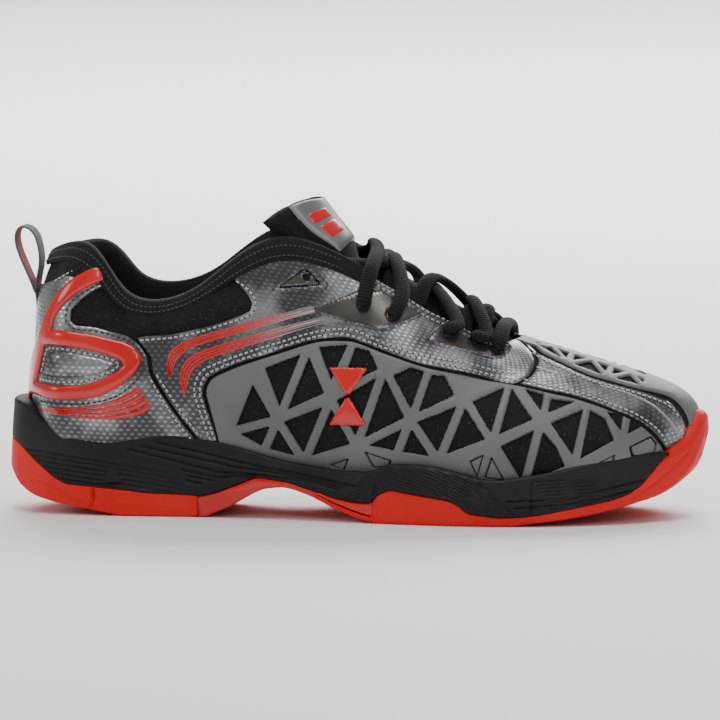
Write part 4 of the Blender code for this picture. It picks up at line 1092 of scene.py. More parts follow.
def sew(name, lines, lift, look, pitch=THREAD_PITCH, length=THREAD_LENGTH, thick=THREAD_THICK,
        body="shoe", holes=True):
    """Runs of stitches along lines on the last: sunk at both ends, with needle holes."""
    vertices, faces, marks = [], [], []
    stations = [(-0.5, 0.35, -0.5), (-0.38, 0.85, 0.2), (0.0, 1.0, 0.55), (0.38, 0.85, 0.2),
                (0.5, 0.35, -0.5)]
    for line in lines:
        spots = on_last(line, lift)
        normals = table_at(LAST_NORMALS, line)
        run = run_along(spots)
        for s in np.arange(pitch * 0.5, run[-1] - pitch * 0.4, pitch):
            ends = [np.array([np.interp(s + d, run, spots[:, k]) for k in range(3)])
                    for d in (-0.5 * length, 0.5 * length)]
            middle = 0.5 * (ends[0] + ends[1])
            normal = unit(np.array([np.interp(s, run, normals[:, k]) for k in range(3)]))
            way = unit(ends[1] - ends[0])
            across = np.cross(normal, way)
            base = len(vertices)
            for t, size, rise in stations:
                centre = middle + way * t * length + normal * rise * thick
                for turn in np.arange(6) * math.pi / 3:
                    side_step = across * math.cos(turn) + normal * math.sin(turn) * 0.8
                    vertices.append(centre + side_step * thick * size)
            faces += tube_faces(len(stations), 6, base)
            marks.append((middle + way * pitch * 0.5, way, across, normal))
    piece = finish_piece(name, vertices, faces, look, body, (), None, 70)
    if holes:
        vertices, faces = [], []
        for centre, way, across, normal in marks:
            base = len(vertices)
            for height, size in ((0.05, 1.0), (-0.25, 0.6)):
                for turn in np.arange(6) * math.pi / 3:
                    out = way * math.cos(turn) * 0.42 + across * math.sin(turn) * 0.36
                    vertices.append(centre + out * size + normal * height)
            faces += tube_faces(2, 6, base)
        finish_piece(name + "_holes", vertices, faces, BLACK_HOLE, body, (), None, 30)
    return piece


def past_heel(places):
    """Places with the inner side's keys counted back from the heel, so they join up there."""
    return [(a - KEY_COUNT if a > TOE_KEY else a, u) for a, u in places]


def around_heel(outline):
    """A closed outline on the drawing carried round the back of the heel to both sides."""
    outer, inner = drawn(outline, -1), past_heel(drawn(outline, 1))
    return outer + [(0.0, outer[-1][1] - 0.02)] + inner[::-1] + [(0.0, outer[0][1])]


def make_silver():
    panel("counter_sheet", around_heel(COUNTER), SILVER, FOIL, spacing=1.8,
          nodes=("counter_panel",))
    for word, side in SIDES.items():
        vent = placed_hole([(117, 100.2), (128.5, 109.4), (136, 102.2)], side, 1.6)
        panel(f"quarter_{word}_sheet", drawn(QUARTER, side, 0.955), SILVER, FOIL,
              [vent], spacing=1.8, nodes=(f"quarter_{word}",))
        panel(f"toe_band_{word}_sheet", drawn(BAND, side), SILVER, FOIL,
              spacing=1.8, nodes=(f"toe_band_{word}",))


make_silver()


SEWN_LINES = {
    "cage_edge": [
        (91, 32), (88, 40), (85, 49), (83.5, 55), (85.5, 61.5), (91.5, 65), (100, 68.6),
        (110, 72.2), (120, 75.6), (130, 79), (137, 80.6), (145, 81.1), (150, 80.6), (163, 75.7),
        (180, 70.2), (200, 66.7), (219, 63.2),
    ],
    "cage_edge_outer": [
        (89, 32), (85.8, 40), (82.8, 49), (81, 55.3), (83.6, 63), (90.7, 67), (100, 70.7),
        (110, 74.3), (120, 77.7), (130, 81.1), (137, 82.7), (145, 83.2), (150.5, 82.7), (163, 77.8),
        (180, 72.3), (200, 68.8), (219, 65.3),
    ],
    "collar_edge": [
        (57, 76), (63, 76.6), (72, 77.6), (82, 80), (92, 83.2), (101, 86.4), (106, 89), (107.6, 93),
        (105.5, 97.6), (97.5, 103.2),
    ],
    "throat_edge": [(153, 108.5), (160, 103.3), (170, 97.7), (180, 91.4), (190, 87), (200, 82.3),
                    (210, 78.8), (217, 76.9)],
    "throat_edge_outer": [(153, 106.6), (160, 101.4), (170, 95.8), (180, 89.5), (190, 85.1),
                          (200, 80.4), (210, 77), (216, 75.2)],
    "seam": [(64.5, 62), (76.8, 44.4), (84, 35)],
    "seam_rear": [(62, 59.8), (73, 42.8), (80, 34)],
    "counter_edge": [
        (15, 49), (20, 48.2), (30, 48.2), (40, 49.5), (48, 52.3), (54, 57), (58, 62), (59.5, 67),
        (58.5, 70.5), (54.5, 74.6), (49.5, 77.1), (40, 79.5), (29.5, 80.4), (25.8, 83.5),
        (26.3, 89), (29.8, 93.4), (35, 97.4), (40, 100.4),
    ],
    "counter_top": [(21, 100.4), (30, 105.6), (35.5, 108.2)],
    "band_low": [(222.5, 63.3), (240, 59.3), (250, 56.8), (260, 53.3), (268.5, 50.2),
                 (276, 46), (282, 39.5)],
    "band_high": [(226, 74.6), (230, 72), (240, 67.6), (250, 63.6), (260, 61), (270, 58.6),
                  (279.5, 55.7), (284, 53.8), (289, 48)],
    "window_edge": [
        (15, 58.6), (20, 57.6), (28, 57.6), (36, 58.6), (42.5, 61.4), (47, 63.6), (48.6, 65.4),
        (48, 66.4), (44, 68.2), (37.5, 69.6), (30, 70.9), (20.5, 71.9), (18, 71.7),
    ],
    "vent_edge": [(114.2, 98.6), (128.4, 111.8), (130.4, 111.4), (138.6, 102), (137, 100.2),
                  (120, 98)],
}


BAND_LINES = [
    [(228, 68.5), (232.5, 67.4), (237, 66)],
    [(255, 61.5), (265, 59), (275, 55), (283, 49), (288, 43), (290, 40)],
]
BAND_LINE_HALF = 0.7


def make_band_lines():
    look = Look("reflective_film", coat_weight=0.3)
    tone = look.grain(900.0)
    look.colour(tone, (0.2, 0.205, 0.21), (0.34, 0.345, 0.35))
    look.set("Roughness", 0.32 + tone * 0.12)
    for word, side in SIDES.items():
        parts = []
        for k, line in enumerate(BAND_LINES):
            middle = smooth_path(line, side)
            outline = list(beside(middle, BAND_LINE_HALF)) + list(
                beside(middle, -BAND_LINE_HALF)[::-1])
            parts.append(panel(f"line_{word}_{k}", outline, look,
                               (FOIL[1] - 0.15, FOIL[1] + 0.15), edge=0.2, spacing=1.0,
                               step=0.7, body=None))
        join_pieces(f"toe_band_{word}_line", parts, ())


make_band_lines()


def make_seams():
    pale, dark = [], []
    for side in (-1, 1):
        for name, outline in SEWN_LINES.items():
            line = smooth_path(outline, side, closed=name in ("window_edge", "vent_edge"))
            (dark if name in ("vent_edge", "counter_edge") else pale).append(line)
    sew("pale_stitching", pale, FOIL[1] + 0.02, PALE_THREAD)
    sew("dark_stitching", dark, FOIL[1] + 0.02, DARK_THREAD, holes=False)


make_seams()

# ---- red trims
# Glossy red film, moulded proud of the silver: the open loop round the heel with the bar
# up its back, the fan below it, the swooshes on the quarter, and a plain side mark.
HEEL_LOOP = [
    (9.5, 45), (11, 51.6), (20, 50.2), (30, 50.2), (40, 51.7), (47, 55.2), (52, 58.8), (56, 63),
    (58, 67), (57.6, 70), (55, 73), (50, 75.4), (40, 77.6), (30, 79), (20, 79.7),
    (21.2, 84.5), (24.2, 89.5), (30.5, 95.5), (36, 99), (42, 101.6), (39.6, 107.2), (33, 104.6),
    (27, 100), (21, 92.5), (17, 84), (14.2, 76), (12, 68), (11, 62),
]
HEEL_WINDOW = [
    (13.5, 57.2), (20, 56), (28, 56), (36, 57), (43, 60), (48, 62.7), (50.6, 65.2), (49.8, 67),
    (45, 69.3), (38, 71), (30, 72.4), (20, 73.6), (17, 73.4),
]
HEEL_PAD = [
    (16.5, 60.6), (22, 59.6), (30, 59.8), (37, 60.8), (43, 63), (46.6, 65.1), (45.5, 66.6),
    (40, 68.2), (30, 69.9), (22, 70.6), (18.6, 69.8),
]
FAN_LOW = [(14.5, 45.2), (22, 43.6), (30, 42.6), (40, 41.8), (50, 42.6), (58, 44.4), (63, 47.5)]
FAN_HIGH = [(15, 46), (22, 46.6), (30, 47.2), (38, 48.3), (46, 50.6), (52, 53.8), (56.5, 56.8)]
REAR_HIGH = [
    (69.6, 62), (68.8, 67), (70.5, 71.6), (75.5, 75.8), (85, 79.4), (97, 83), (109, 86.8),
    (121, 90.2), (132, 93),
]
REAR_LOW = [
    (70.8, 60), (72.4, 65.5), (74.5, 69.3), (79.5, 73.2), (89, 76.8), (100.5, 80.4),
    (112.5, 84), (124, 87.4), (136, 90.4),
]
FRONT_HIGH = [
    (75.6, 56), (74.6, 61.5), (76, 66.5), (80, 70.6), (89, 74.4), (101, 78.2), (114, 82.3),
    (127, 86.3), (141, 89.6),
]
FRONT_LOW = [
    (76.8, 52.5), (78.4, 59), (80.3, 63.5), (84.3, 67.3), (93, 71.2), (105, 75.2), (117.5, 79.3),
    (130.5, 83.6), (148, 87.2),
]
TRIM = (1.25, 2.3)


def red_film_look(name, fade):
    """Glossy red film; where it fades it lets the silver print through at its front end."""
    look = Look(name, coat_roughness=0.06, specular_ior_level=0.5)
    place = look.place()
    cloud = look.noise(place, 30.0, 2.0)
    red = look.mix(look.ramp(cloud, 0.3, 0.7), (0.56, 0.003, 0.002), (0.66, 0.006, 0.004))
    if fade:
        x, _, _ = look.parts(place)
        speck = look.noise(place, 800.0, 2.0)
        gone = look.ramp(x + (speck - 0.5) * 0.02, (104.0 - 152.9) * MM, (146.0 - 152.9) * MM)
        look.colour(gone, red, (0.42, 0.4, 0.41))
        look.set("Metallic", gone * 0.7)
    else:
        look.set("Base Color", red)
    look.set("Roughness", 0.24 + cloud * 0.1)
    look.set("Coat Weight", 0.55 + cloud * 0.2)
    return look


RED_FILM = red_film_look("red_film", False)
RED_FADE = red_film_look("red_fading_print", True)


def strip(low, high, first, last, side):
    """An outline between two drawn lines, from one share of their gap to another."""
    low, high = np.array(low), np.array(high)
    under = low + (high - low) * first
    over = low + (high - low) * last
    return drawn(list(under) + list(over[::-1]), side)


def make_red_trims():
    outer, inner = drawn(HEEL_LOOP, -1), past_heel(drawn(HEEL_LOOP, 1))
    windows = [past_heel(placed_hole(HEEL_WINDOW, side, 1.2)) for side in (-1, 1)]
    outline = outer + [(0.0, outer[-1][1])] + inner[::-1] + [(0.0, inner[0][1])]
    panel("heel_loop_film", outline, RED_FILM, TRIM, windows, edge=0.7,
          spacing=1.5, step=0.8, nodes=("heel_trim",), crown=0.5, soft=3.0)
    for word, side in SIDES.items():
        panel(f"heel_pad_{word}", past_heel(drawn(HEEL_PAD, side)), SILVER,
              (FOIL[1] - 0.2, FOIL[1] + 0.25), spacing=1.2, crown=1.3, soft=4.5)
        bars = []
        for k in range(4):
            bars.append(strip(FAN_LOW, FAN_HIGH, k * 0.25 + 0.02, k * 0.25 + 0.215, side))
        merge_panels(f"heel_fan_{word}_film", bars, RED_FILM, (f"heel_fan_{word}",), 1)
        for place, low, high in (("rear", REAR_LOW, REAR_HIGH), ("front", FRONT_LOW, FRONT_HIGH)):
            bars = [strip(low, high, k * 0.25, k * 0.25 + 0.2, side) for k in range(4)]
            merge_panels(f"stripe_{place}_{word}_film", bars, RED_FADE,
                         (f"stripe_{place}_{word}",), 0)
        make_mark(word, side)


def merge_panels(name, outlines, look, nodes, level):
    """Several narrow strips of film as one piece."""
    levels = ((FOIL[1] - 0.15, FOIL[1] + 0.3), (FOIL[1] - 0.15, FOIL[1] + 0.55))[level]
    parts = []
    for k, outline in enumerate(outlines):
        parts.append(panel(f"{name}_{k}", outline, look, levels, edge=0.3,
                           spacing=1.2, step=0.7, body=None))
    join_pieces(name, parts, nodes)


def make_mark(word, side):
    """The side mark: two plain triangles, point to point."""
    low = [(139.4, 42.5), (155.4, 42.5), (148.2, 54.2), (146.6, 54.2)]
    high = [(146.6, 55.6), (148.2, 55.6), (155.9, 67), (139.4, 67)]
    parts = []
    for k, outline in enumerate((low, high)):
        ring = placed_hole(outline, side, 1.0)
        parts.append(panel(f"mark_{word}_{k}", ring, RED_FILM,
                           (SHEET[1] - 0.1, SHEET[1] + 0.9), edge=0.6, spacing=1.3, step=0.7,
                           corner=75, body=None))
    join_pieces(f"side_mark_{word}", parts, (f"emblem_{word}",))


make_red_trims()

# ---- eyelet plates
# Smoked film set into the eyestay: a small window over the ankle with a vent hole, and two
# lozenges that the lace runs through, each with a fine raised rim.
PLATES = {
    "top": [(117.6, 100.9), (128.4, 108.9), (135.4, 102.4)],
    "middle": [(132.5, 91.3), (152, 99.6), (161.5, 99.6), (178.5, 90.3), (164, 83.6), (159, 83.6)],
    "front": [
        (181, 79), (184, 82.8), (192, 87.6), (201, 86.2), (209, 81.5), (217, 77), (213, 72.6),
        (208, 72.2),
    ],
}
PLATE_HOLES = {"top": [], "middle": [0, 1], "front": [2, 3, 4]}
EYELET_RADIUS = 2.3


def smoke_look():
    look = Look("smoked_film", coat_weight=0.7, coat_roughness=0.08)
    place = look.place()
    cloud = look.noise(place, 55.0, 2.0)
    haze = look.ramp(cloud, 0.35, 0.7)
    look.colour(haze, (0.05, 0.044, 0.038), (0.17, 0.155, 0.14))
    look.set("Metallic", 0.55 + haze * 0.3)
    look.set("Roughness", 0.3 - haze * 0.08)
    return look


SMOKE = smoke_look()


def hole_ring(number, side, radius, count=20):
    """Places of a round hole at an eyelet."""
    centre, normal = eyelet_frame(number, side)
    across = unit(np.cross(normal, (1, 0, 0)))
    along = np.cross(normal, across)
    places = []
    for turn in np.arange(count) / count * 2 * math.pi:
        spot = centre + (across * math.cos(turn) + along * math.sin(turn)) * radius
        hit, _, index, _ = TREE.find_nearest(Vector(spot))
        places.append(place_of_hit(hit, index))
    return places


def rim_line(name, outline, side, width, levels, look):
    """A narrow raised frame along an outline."""
    places = np.array(placed_hole(outline, side, 1.2))
    scale = mm_scale(places)
    flat = places * scale
    if polygon_area(flat) < 0:
        flat = flat[::-1]
    along = ring_ways(flat)
    outwards = np.stack([along[:, 1], -along[:, 0]], axis=1)
    inner = (flat - outwards * 0.1) / scale
    outer = (flat + outwards * width) / scale
    panel(name, outer, look, levels, [inner], edge=0.22, spacing=1.2, step=0.6, corner=80)


def make_plates():
    for word, side in SIDES.items():
        for place, outline in PLATES.items():
            ring = placed_hole(outline, side, 1.4)
            if place == "top":
                centre = np.array(drawn([(129.2, 105.2)], side)[0])
                scale = mm_scale([centre])
                turns = np.arange(18) / 18 * 2 * math.pi
                holes = [[tuple(centre + np.array([math.cos(t), math.sin(t)]) * 1.5 / scale)
                          for t in turns]]
                levels = (0.1, 0.8)
            else:
                holes = [hole_ring(k, side, EYELET_RADIUS) for k in PLATE_HOLES[place]]
                levels = (FOIL[1] - 0.1, FOIL[1] + 0.35)
                rim_line(f"plate_rim_{place}_{word}", outline, side, 0.7,
                         (FOIL[1] - 0.1, FOIL[1] + 0.65), SILVER)
            panel(f"plate_{place}_{word}_film", ring, SMOKE, levels, holes,
                  edge=0.35, spacing=1.5, step=0.7, corner=80,
                  nodes=(f"eyelet_plate_{place}_{word}",))


make_plates()

# ---- collar
# A foam-padded collar lined with black knit, turned over the top line, and finished with a
# flat woven binding that is sewn down inside and outside the edge.
COLLAR_END = 5.3
PAD_PROFILE = [
    (0.70, -1.5), (0.80, -1.5), (0.90, -1.5), (0.97, -1.2), (1.0, -0.6), ("over", 2.6, -3.2),
    ("over", 1.4, -5.6), (0.97, -7.4), (0.90, -9.0), (0.80, -9.4), (0.70, -8.0), (0.62, -4.5),
    (0.60, -1.6),
]
BINDING_PROFILE = [
    (0.93, 1.9), (0.965, 2.35), (1.0, 2.3), ("over", 1.6, 1.4), ("over", 2.9, -0.6),
    ("over", 3.4, -2.6), ("over", 2.9, -4.4), ("over", 2.3, -3.9), ("over", 2.7, -2.6),
    ("over", 2.3, -0.8), ("over", 1.0, 0.9), (0.985, 1.5), (0.95, 1.4), (0.93, 1.3),
]


def band_round(name, profile, end, steps, look, body="shoe", nodes=(), taper=0.0):
    """A closed band that follows the top line, with its section given over the last."""
    keys = np.linspace(-end, end, steps)
    sections = []
    for spot in profile:
        if spot[0] == "over":
            rise, lift = spot[1], spot[2]
            up = 1.0
        else:
            up, lift = spot
            rise = 0.0
        points = on_last(np.column_stack([keys, np.full(len(keys), up)]), lift)
        points[:, 2] += rise
        sections.append(points)
    grid = np.stack(sections, axis=1)
    fine = np.arange(0, len(profile), 1 / 3)
    grid = through(np.concatenate([grid, grid[:, :1]], axis=1).transpose(1, 0, 2)[:-1], True,
                   fine).transpose(1, 0, 2)
    if taper:
        near = np.clip((end - np.abs(keys)) / taper, 0.12, 1.0)
        anchor = grid[:, :1]
        grid = anchor + (grid - anchor) * np.sqrt(near)[:, None, None]
    count, ring = grid.shape[:2]
    run, around = run_along(grid[:, 4]), run_along(grid[count // 2])
    uv = [(run[k] * MM, around[j] * MM) for k in range(count) for j in range(ring)]
    faces = tube_faces(count, ring)
    return finish_piece(name, grid.reshape(-1, 3), faces, look, body, nodes, uv, 80)


def knit_look(name, dark, light, cell):
    """Soft knitted lining: small columns of loops with a light nap."""
    look = Look(name, roughness=0.9, sheen_weight=0.06, specular_ior_level=0.25)
    u, v, _ = look.parts(look.place("UV"))
    loops = u.wave(cell) * (v * (2 * math.pi / (cell * 0.8))).do("SINE")
    nap = look.grain(1800.0)
    shade = look.ramp(loops * 0.5 + nap, 0.2, 1.0)
    look.colour(shade, dark, light)
    look.bump(loops + nap * 0.6, 0.00018, 0.7)
    return look


LINING = knit_look("black_knit_lining", (0.002, 0.002, 0.0022), (0.011, 0.011, 0.0115), 0.0011)


def binding_look():
    look = Look("woven_binding", roughness=0.85, sheen_weight=0.05, specular_ior_level=0.3)
    u, v, _ = look.parts(look.place("UV"))
    rib = (u * (2 * math.pi / 0.0011) + v * (2 * math.pi / 0.0024)).do("SINE")
    nap = look.grain(1500.0)
    shade = look.ramp(rib * 0.4 + nap, 0.2, 1.1)
    look.colour(shade, (0.003, 0.003, 0.003), (0.016, 0.016, 0.017))
    look.bump(rib * 0.8 + nap * 0.5, 0.0002, 0.8)
    return look


BINDING = binding_look()


def make_collar():
    pad = band_round("collar_padding", PAD_PROFILE, COLLAR_END, 230, LINING, "shoe",
                     ("collar_pad",), 0.5)
    band_round("collar_edge_binding", BINDING_PROFILE, 5.85, 300, BINDING, "shoe",
               ("collar_binding",))
    keys = np.linspace(-5.6, 5.6, 600)
    lines = [np.column_stack([keys, np.full(600, up)]) for up in (0.945, 0.985)]
    sew("binding_stitching", lines, 2.25, DARK_THREAD, 2.0, 1.6, 0.3,
        holes=False)


make_collar()

# ---- sole
# A black foam midsole in a cup of red rubber at the heel and the forefoot, with a glossy
# red arch plate between them. The foam's sides carry moulded grooves, ribs and a wedge.
SOLE_PLAN = [
    (0.5, 0), (6, -19), (20, -30), (45, -35), (80, -34.5), (112, -36), (145, -42),
    (178, -49), (208, -52), (235, -49.5), (262, -40), (284, -24), (299, -6), (306, 10),
    (300, 25), (284, 41), (262, 51), (235, 54), (205, 50.5), (175, 42.5), (145, 33.5),
    (112, 29), (80, 30.5), (45, 34.5), (20, 30), (6, 19),
]
SOLE_WALL = [(-4, 3.0), (12, 0), (36, 1.0), (64, 3.0)]
HEEL_RUBBER_TOP = [
    (-8, 31), (1.5, 33.5), (5, 29.5), (10, 24.5), (15, 20), (20, 16), (25, 13.5), (37, 12.5),
    (50, 11.5), (60, 10.5), (80, 10), (82, 9.5),
]
SHANK_TOP = [
    (82, 9.5), (90, 11.5), (95, 13.5), (100, 15.5), (107, 18.5), (112, 18), (120, 17),
    (130, 14), (140, 11), (150, 9), (157, 9),
]
FOREFOOT_RUBBER_TOP = [
    (157, 9.7), (160, 13), (165, 15), (170, 14), (190, 11), (194, 9), (198, 5.5), (210, 4.2),
    (220, 4.5), (230, 6), (250, 10.5), (260, 13), (268, 16), (273, 19.5), (277, 24), (281, 29),
    (285, 33.5),
]
BUMPER_TOP = [(285, 34.5), (290, 38), (295, 42), (299, 48), (302, 52.5), (312, 54)]
RIM = [
    (-8, 52), (6, 48), (10, 43.5), (15, 40), (20, 37.5), (25, 35), (30, 33), (35, 31.5), (40, 31),
    (47, 32), (60, 35), (66, 36), (72, 36), (90, 33.5), (100, 31), (110, 28), (120, 25.5),
    (140, 22.5), (155, 22), (163, 26), (180, 26), (190, 24), (200, 21.5), (205, 20.5), (210, 20),
    (230, 23.5), (250, 28.5), (270, 32.5), (280, 34), (291, 34.4),
]
SOLE_BOTTOM = [
    (-8, 30), (0, 23), (2.5, 16), (5, 12), (10, 8), (20, 5), (35, 2.4), (48, 0), (84, 0), (90, 3),
    (95, 5), (100, 8), (105, 11), (110, 13.5), (118, 14.5), (122, 14), (128, 12), (135, 9),
    (140, 6), (145, 4), (150, 2), (158, 0), (214, 0), (220, 1), (230, 2.5), (240, 4), (250, 6),
    (260, 8.5), (268, 11), (280, 15), (287, 19), (293, 24), (298, 31), (304, 45), (308, 52),
]
OUTSOLE_FLOOR = 4.6
OUTSOLE_WALL = 4.6
LIP_START = 141.0
PLAN_STEPS = 28
PLAN = through(SOLE_PLAN, True, np.arange(len(SOLE_PLAN) * PLAN_STEPS) / PLAN_STEPS)
PLAN_WAYS = ring_ways(PLAN)
PLAN_INWARDS = np.stack([-PLAN_WAYS[:, 1], PLAN_WAYS[:, 0]], axis=1)
LATERAL_PLAN = np.array(SOLE_PLAN[:14], float)


def on_sole(outline):
    """Points of the turned drawing placed on the sole's outer edge, as X-Z points."""
    placed = []
    for x, z in outline:
        y = -35.0
        for _ in range(6):
            real_x = from_drawing(x, z, y)[0]
            y = float(np.interp(real_x, LATERAL_PLAN[:, 0], LATERAL_PLAN[:, 1]))
        placed.append(from_drawing(x, z, y))
    return placed


SOLE_X = np.arange(-12.0, 320.0, 0.5)


def height_line(outlines, blur=1.2):
    """Heights at every half millimetre along the sole, with the kinks softened."""
    placed = [p for outline in outlines for p in on_sole(outline)]
    xs, zs = zip(*placed)
    heights = np.interp(SOLE_X, xs, zs)
    kernel = np.exp(-0.5 * (np.arange(-8, 9) * 0.5 / blur) ** 2)
    kernel /= kernel.sum()
    padded = np.pad(heights, 8, mode="edge")
    return np.convolve(padded, kernel, "valid")


BOTTOM_LINE = height_line([SOLE_BOTTOM], 1.6)
BOTTOM_LINE[(SOLE_X > 54) & (SOLE_X < 88)] = 0.0
BOTTOM_LINE[(SOLE_X > 168) & (SOLE_X < 224)] = 0.0
BOTTOM_LINE = np.maximum(BOTTOM_LINE, 0.0)
RUBBER_LINE = height_line(
    [HEEL_RUBBER_TOP, SHANK_TOP[1:], FOREFOOT_RUBBER_TOP, BUMPER_TOP[1:]], 0.8)
RIM_LINE = height_line([RIM], 2.0)
BUMPER_ROUND = np.interp(SOLE_X, [286.0, 302.0], [0.0, 7.0])
HEEL_END = on_sole([(82, 9.5)])[0][0]
SHANK_END = on_sole([(157, 9)])[0][0]
FOOT_ROW = LAST[: TOE_KEY * PER_KEY + 1, 0]


def at_x(line, x):
    return np.interp(x, SOLE_X, line)


def foot_level(x):
    return np.interp(x, FOOT_ROW[:, 0], FOOT_ROW[:, 2])


def plan_piece(first, last):
    """The sole's outline between two x positions: points, inward ways, and which are cuts."""
    mask = (PLAN[:, 0] > first) & (PLAN[:, 0] < last)
    if mask.all():
        return PLAN, PLAN_INWARDS, np.zeros(len(PLAN), bool)
    start = int(np.argmax(mask & ~np.roll(mask, 1)))
    order = np.roll(np.arange(len(PLAN)), -start)
    runs, run = [], []
    for k in order:
        if mask[k]:
            run.append(k)
        elif run:
            runs.append(run)
            run = []
    if run:
        runs.append(run)
    points, inwards, cut = [], [], []
    for n, run in enumerate(runs):
        for k in run:
            points.append(PLAN[k])
            inwards.append(PLAN_INWARDS[k])
            cut.append(False)
        here, there = PLAN[run[-1]], PLAN[runs[(n + 1) % len(runs)][0]]
        edge = first if abs(here[0] - first) < abs(here[0] - last) else last
        steps = int(abs(there[1] - here[1]) / 1.5)
        for t in (np.arange(steps) + 0.5) / steps:
            points.append(np.array([edge, here[1] + (there[1] - here[1]) * t]))
            inwards.append(np.array([0.0, 0.0]))
            cut.append(True)
    return np.array(points), np.array(inwards), np.array(cut)


def cap(ring, levels, spacing):
    """Triangles across a closed ring on the flat, with extra points at set heights."""
    flat = ring[:, :2]
    grid = staggered(flat.min(axis=0), flat.max(axis=0), spacing)
    grid = grid[inside(grid, flat)]
    grid = grid[nearest(grid, flat) > spacing * 0.6]
    count = len(ring)
    spots = [Vector(p) for p in flat] + [Vector(p) for p in grid]
    edges = [(k, (k + 1) % count) for k in range(count)]
    made = delaunay_2d_cdt(spots, edges, [], 0, 1e-5)
    found, triangles = np.array([tuple(p) for p in made[0]]), np.array(made[2])
    triangles = triangles[inside(found[triangles].mean(axis=1), flat)]
    extra, number = [], []
    for spot, came in zip(found, made[3]):
        known = [o for o in came if o < count]
        number.append(known[0] if known else count + len(extra))
        if not known:
            extra.append((spot[0], spot[1], 0.0))
    extra = np.array(extra).reshape(-1, 3)
    extra[:, 2] = levels(extra[:, 0], extra[:, 1])
    faces = [tuple(number[int(i)] for i in t) for t in triangles]
    return extra, faces


def line_gap(x, z, line):
    """Distance of points of the drawing from a line on it."""
    best = np.full(len(x), 1e9)
    for (ax, az), (bx, bz) in zip(line[:-1], line[1:]):
        dx, dz = bx - ax, bz - az
        t = np.clip(((x - ax) * dx + (z - az) * dz) / (dx * dx + dz * dz), 0, 1)
        best = np.minimum(best, np.hypot(x - ax - dx * t, z - az - dz * t))
    return best


def groove(x, z, line, width, depth):
    return -depth * np.exp(-((line_gap(x, z, line) / width) ** 2))


def within(x, z, ring, soft):
    """1 inside an outline of the drawing, falling to 0 across its edge."""
    closed = list(ring) + [ring[0]]
    gap = line_gap(x, z, closed)
    signed = np.where(inside(np.column_stack([x, z]), ring), gap, -gap)
    return np.clip(0.5 + signed / soft, 0, 1)


WEDGE = [(40.5, 14.2), (50.2, 14.4), (45.6, 22.9)]
HEEL_RIBS = [(5, 30), (7, 29.2), (69, 20.2), (79.5, 10.8), (82, 8), (20, 8), (5, 20)]
SWEEPS = [
    [(51.9, 28.9), (68.9, 25.3), (90.3, 20.3), (107.3, 19.6), (128, 17.6), (146, 13.5)],
    [(58.3, 30.5), (76, 26.9), (97.4, 22.7), (108.7, 21.6), (128, 18.6), (148, 14.6)],
    [(63.2, 32.4), (79.6, 29.2), (97.4, 25.3), (108.7, 23.2), (130, 19.8), (150, 15.8)],
    [(74.6, 20.8), (90.3, 17.9), (105.9, 19.2)],
    [(77.1, 16.3), (84.2, 14.8)], [(77, 18.4), (89, 16.3)],
]
POD = [
    (143, 13.5), (151, 19), (159.5, 25.5), (165, 28), (206, 23), (203.2, 18.6), (219.8, 4.6),
    (219, 2), (150, 2),
]
SIDE_RIBS = [
    [(226.5, 20.6), (240.2, 21.8), (240, 7), (235, 7), (230.8, 14.7)],
    [(242.8, 21.4), (254.7, 22.6), (252.4, 10.6), (246.9, 10.2)],
]
SIDE_LINES = [
    [(214.4, 11.4), (232, 12.4)], [(218.3, 8.6), (233.4, 10.2)], [(254.4, 16.9), (276.7, 23)],
    [(253.8, 13.3), (273.5, 18.9)], [(240.6, 13.1), (246, 13.8)], [(240.6, 10.9), (246.4, 11.8)],
    [(225.2, 20), (225.4, 6)], [(203.2, 18.6), (219.8, 4.6)],
]


def foam_relief(x, z):
    """How far the foam's moulded side stands out, at points of the drawing."""
    relief = np.zeros(len(x))
    ribs = within(x, z, HEEL_RIBS, 1.2) * (1 - within(x, z, WEDGE, 1.6))
    wave = np.sin((z + 0.142 * (x - 7) - 28.7) * 2 * math.pi / 2.05)
    relief += ribs * (0.42 * np.clip(wave, -1, 0.35) - 0.25)
    relief += within(x, z, WEDGE, 0.7) * 0.35
    relief += groove(x, z, WEDGE + [WEDGE[0]], 0.45, 0.7)
    for line in SWEEPS:
        relief += groove(x, z, line, 0.62, 0.95)
    pod = within(x, z, POD, 1.4)
    bent = 0.22 * (x - 160) + 0.0036 * np.clip(x - 160, 0, 80) ** 2
    fine = np.sin((z + bent) * 2 * math.pi / 1.45)
    relief += pod * (0.75 + 0.24 * fine)
    for ring in SIDE_RIBS:
        rib = within(x, z, ring, 0.8)
        relief += rib * (0.28 * np.sin((z - 0.09 * x) * 2 * math.pi / 1.5) - 0.3)
    for line in SIDE_LINES:
        relief += groove(x, z, line, 0.42, 0.7)
    return relief


HEEL_SLIT = [(37, 13), (36.6, 6), (34.5, 1.5)]
RUBBER_CREASES = [
    [(10, 15.5), (20, 11.5), (33, 5)], [(4.6, 24), (4.6, 18.5)], [(6.6, 15.5), (6, 11.5)],
    [(201, 1.6), (202.6, -1)], [(272, 14.5), (273.5, 11)], [(270, 14), (283, 24), (294, 34)],
    [(243, 5.5), (244, 3)], [(220.6, 2.2), (221, 0)],
]


def rubber_relief(x, z):
    relief = groove(x, z, HEEL_SLIT, 0.42, 1.3)
    for line in RUBBER_CREASES:
        relief += groove(x, z, line, 0.4, 0.45)
    return relief


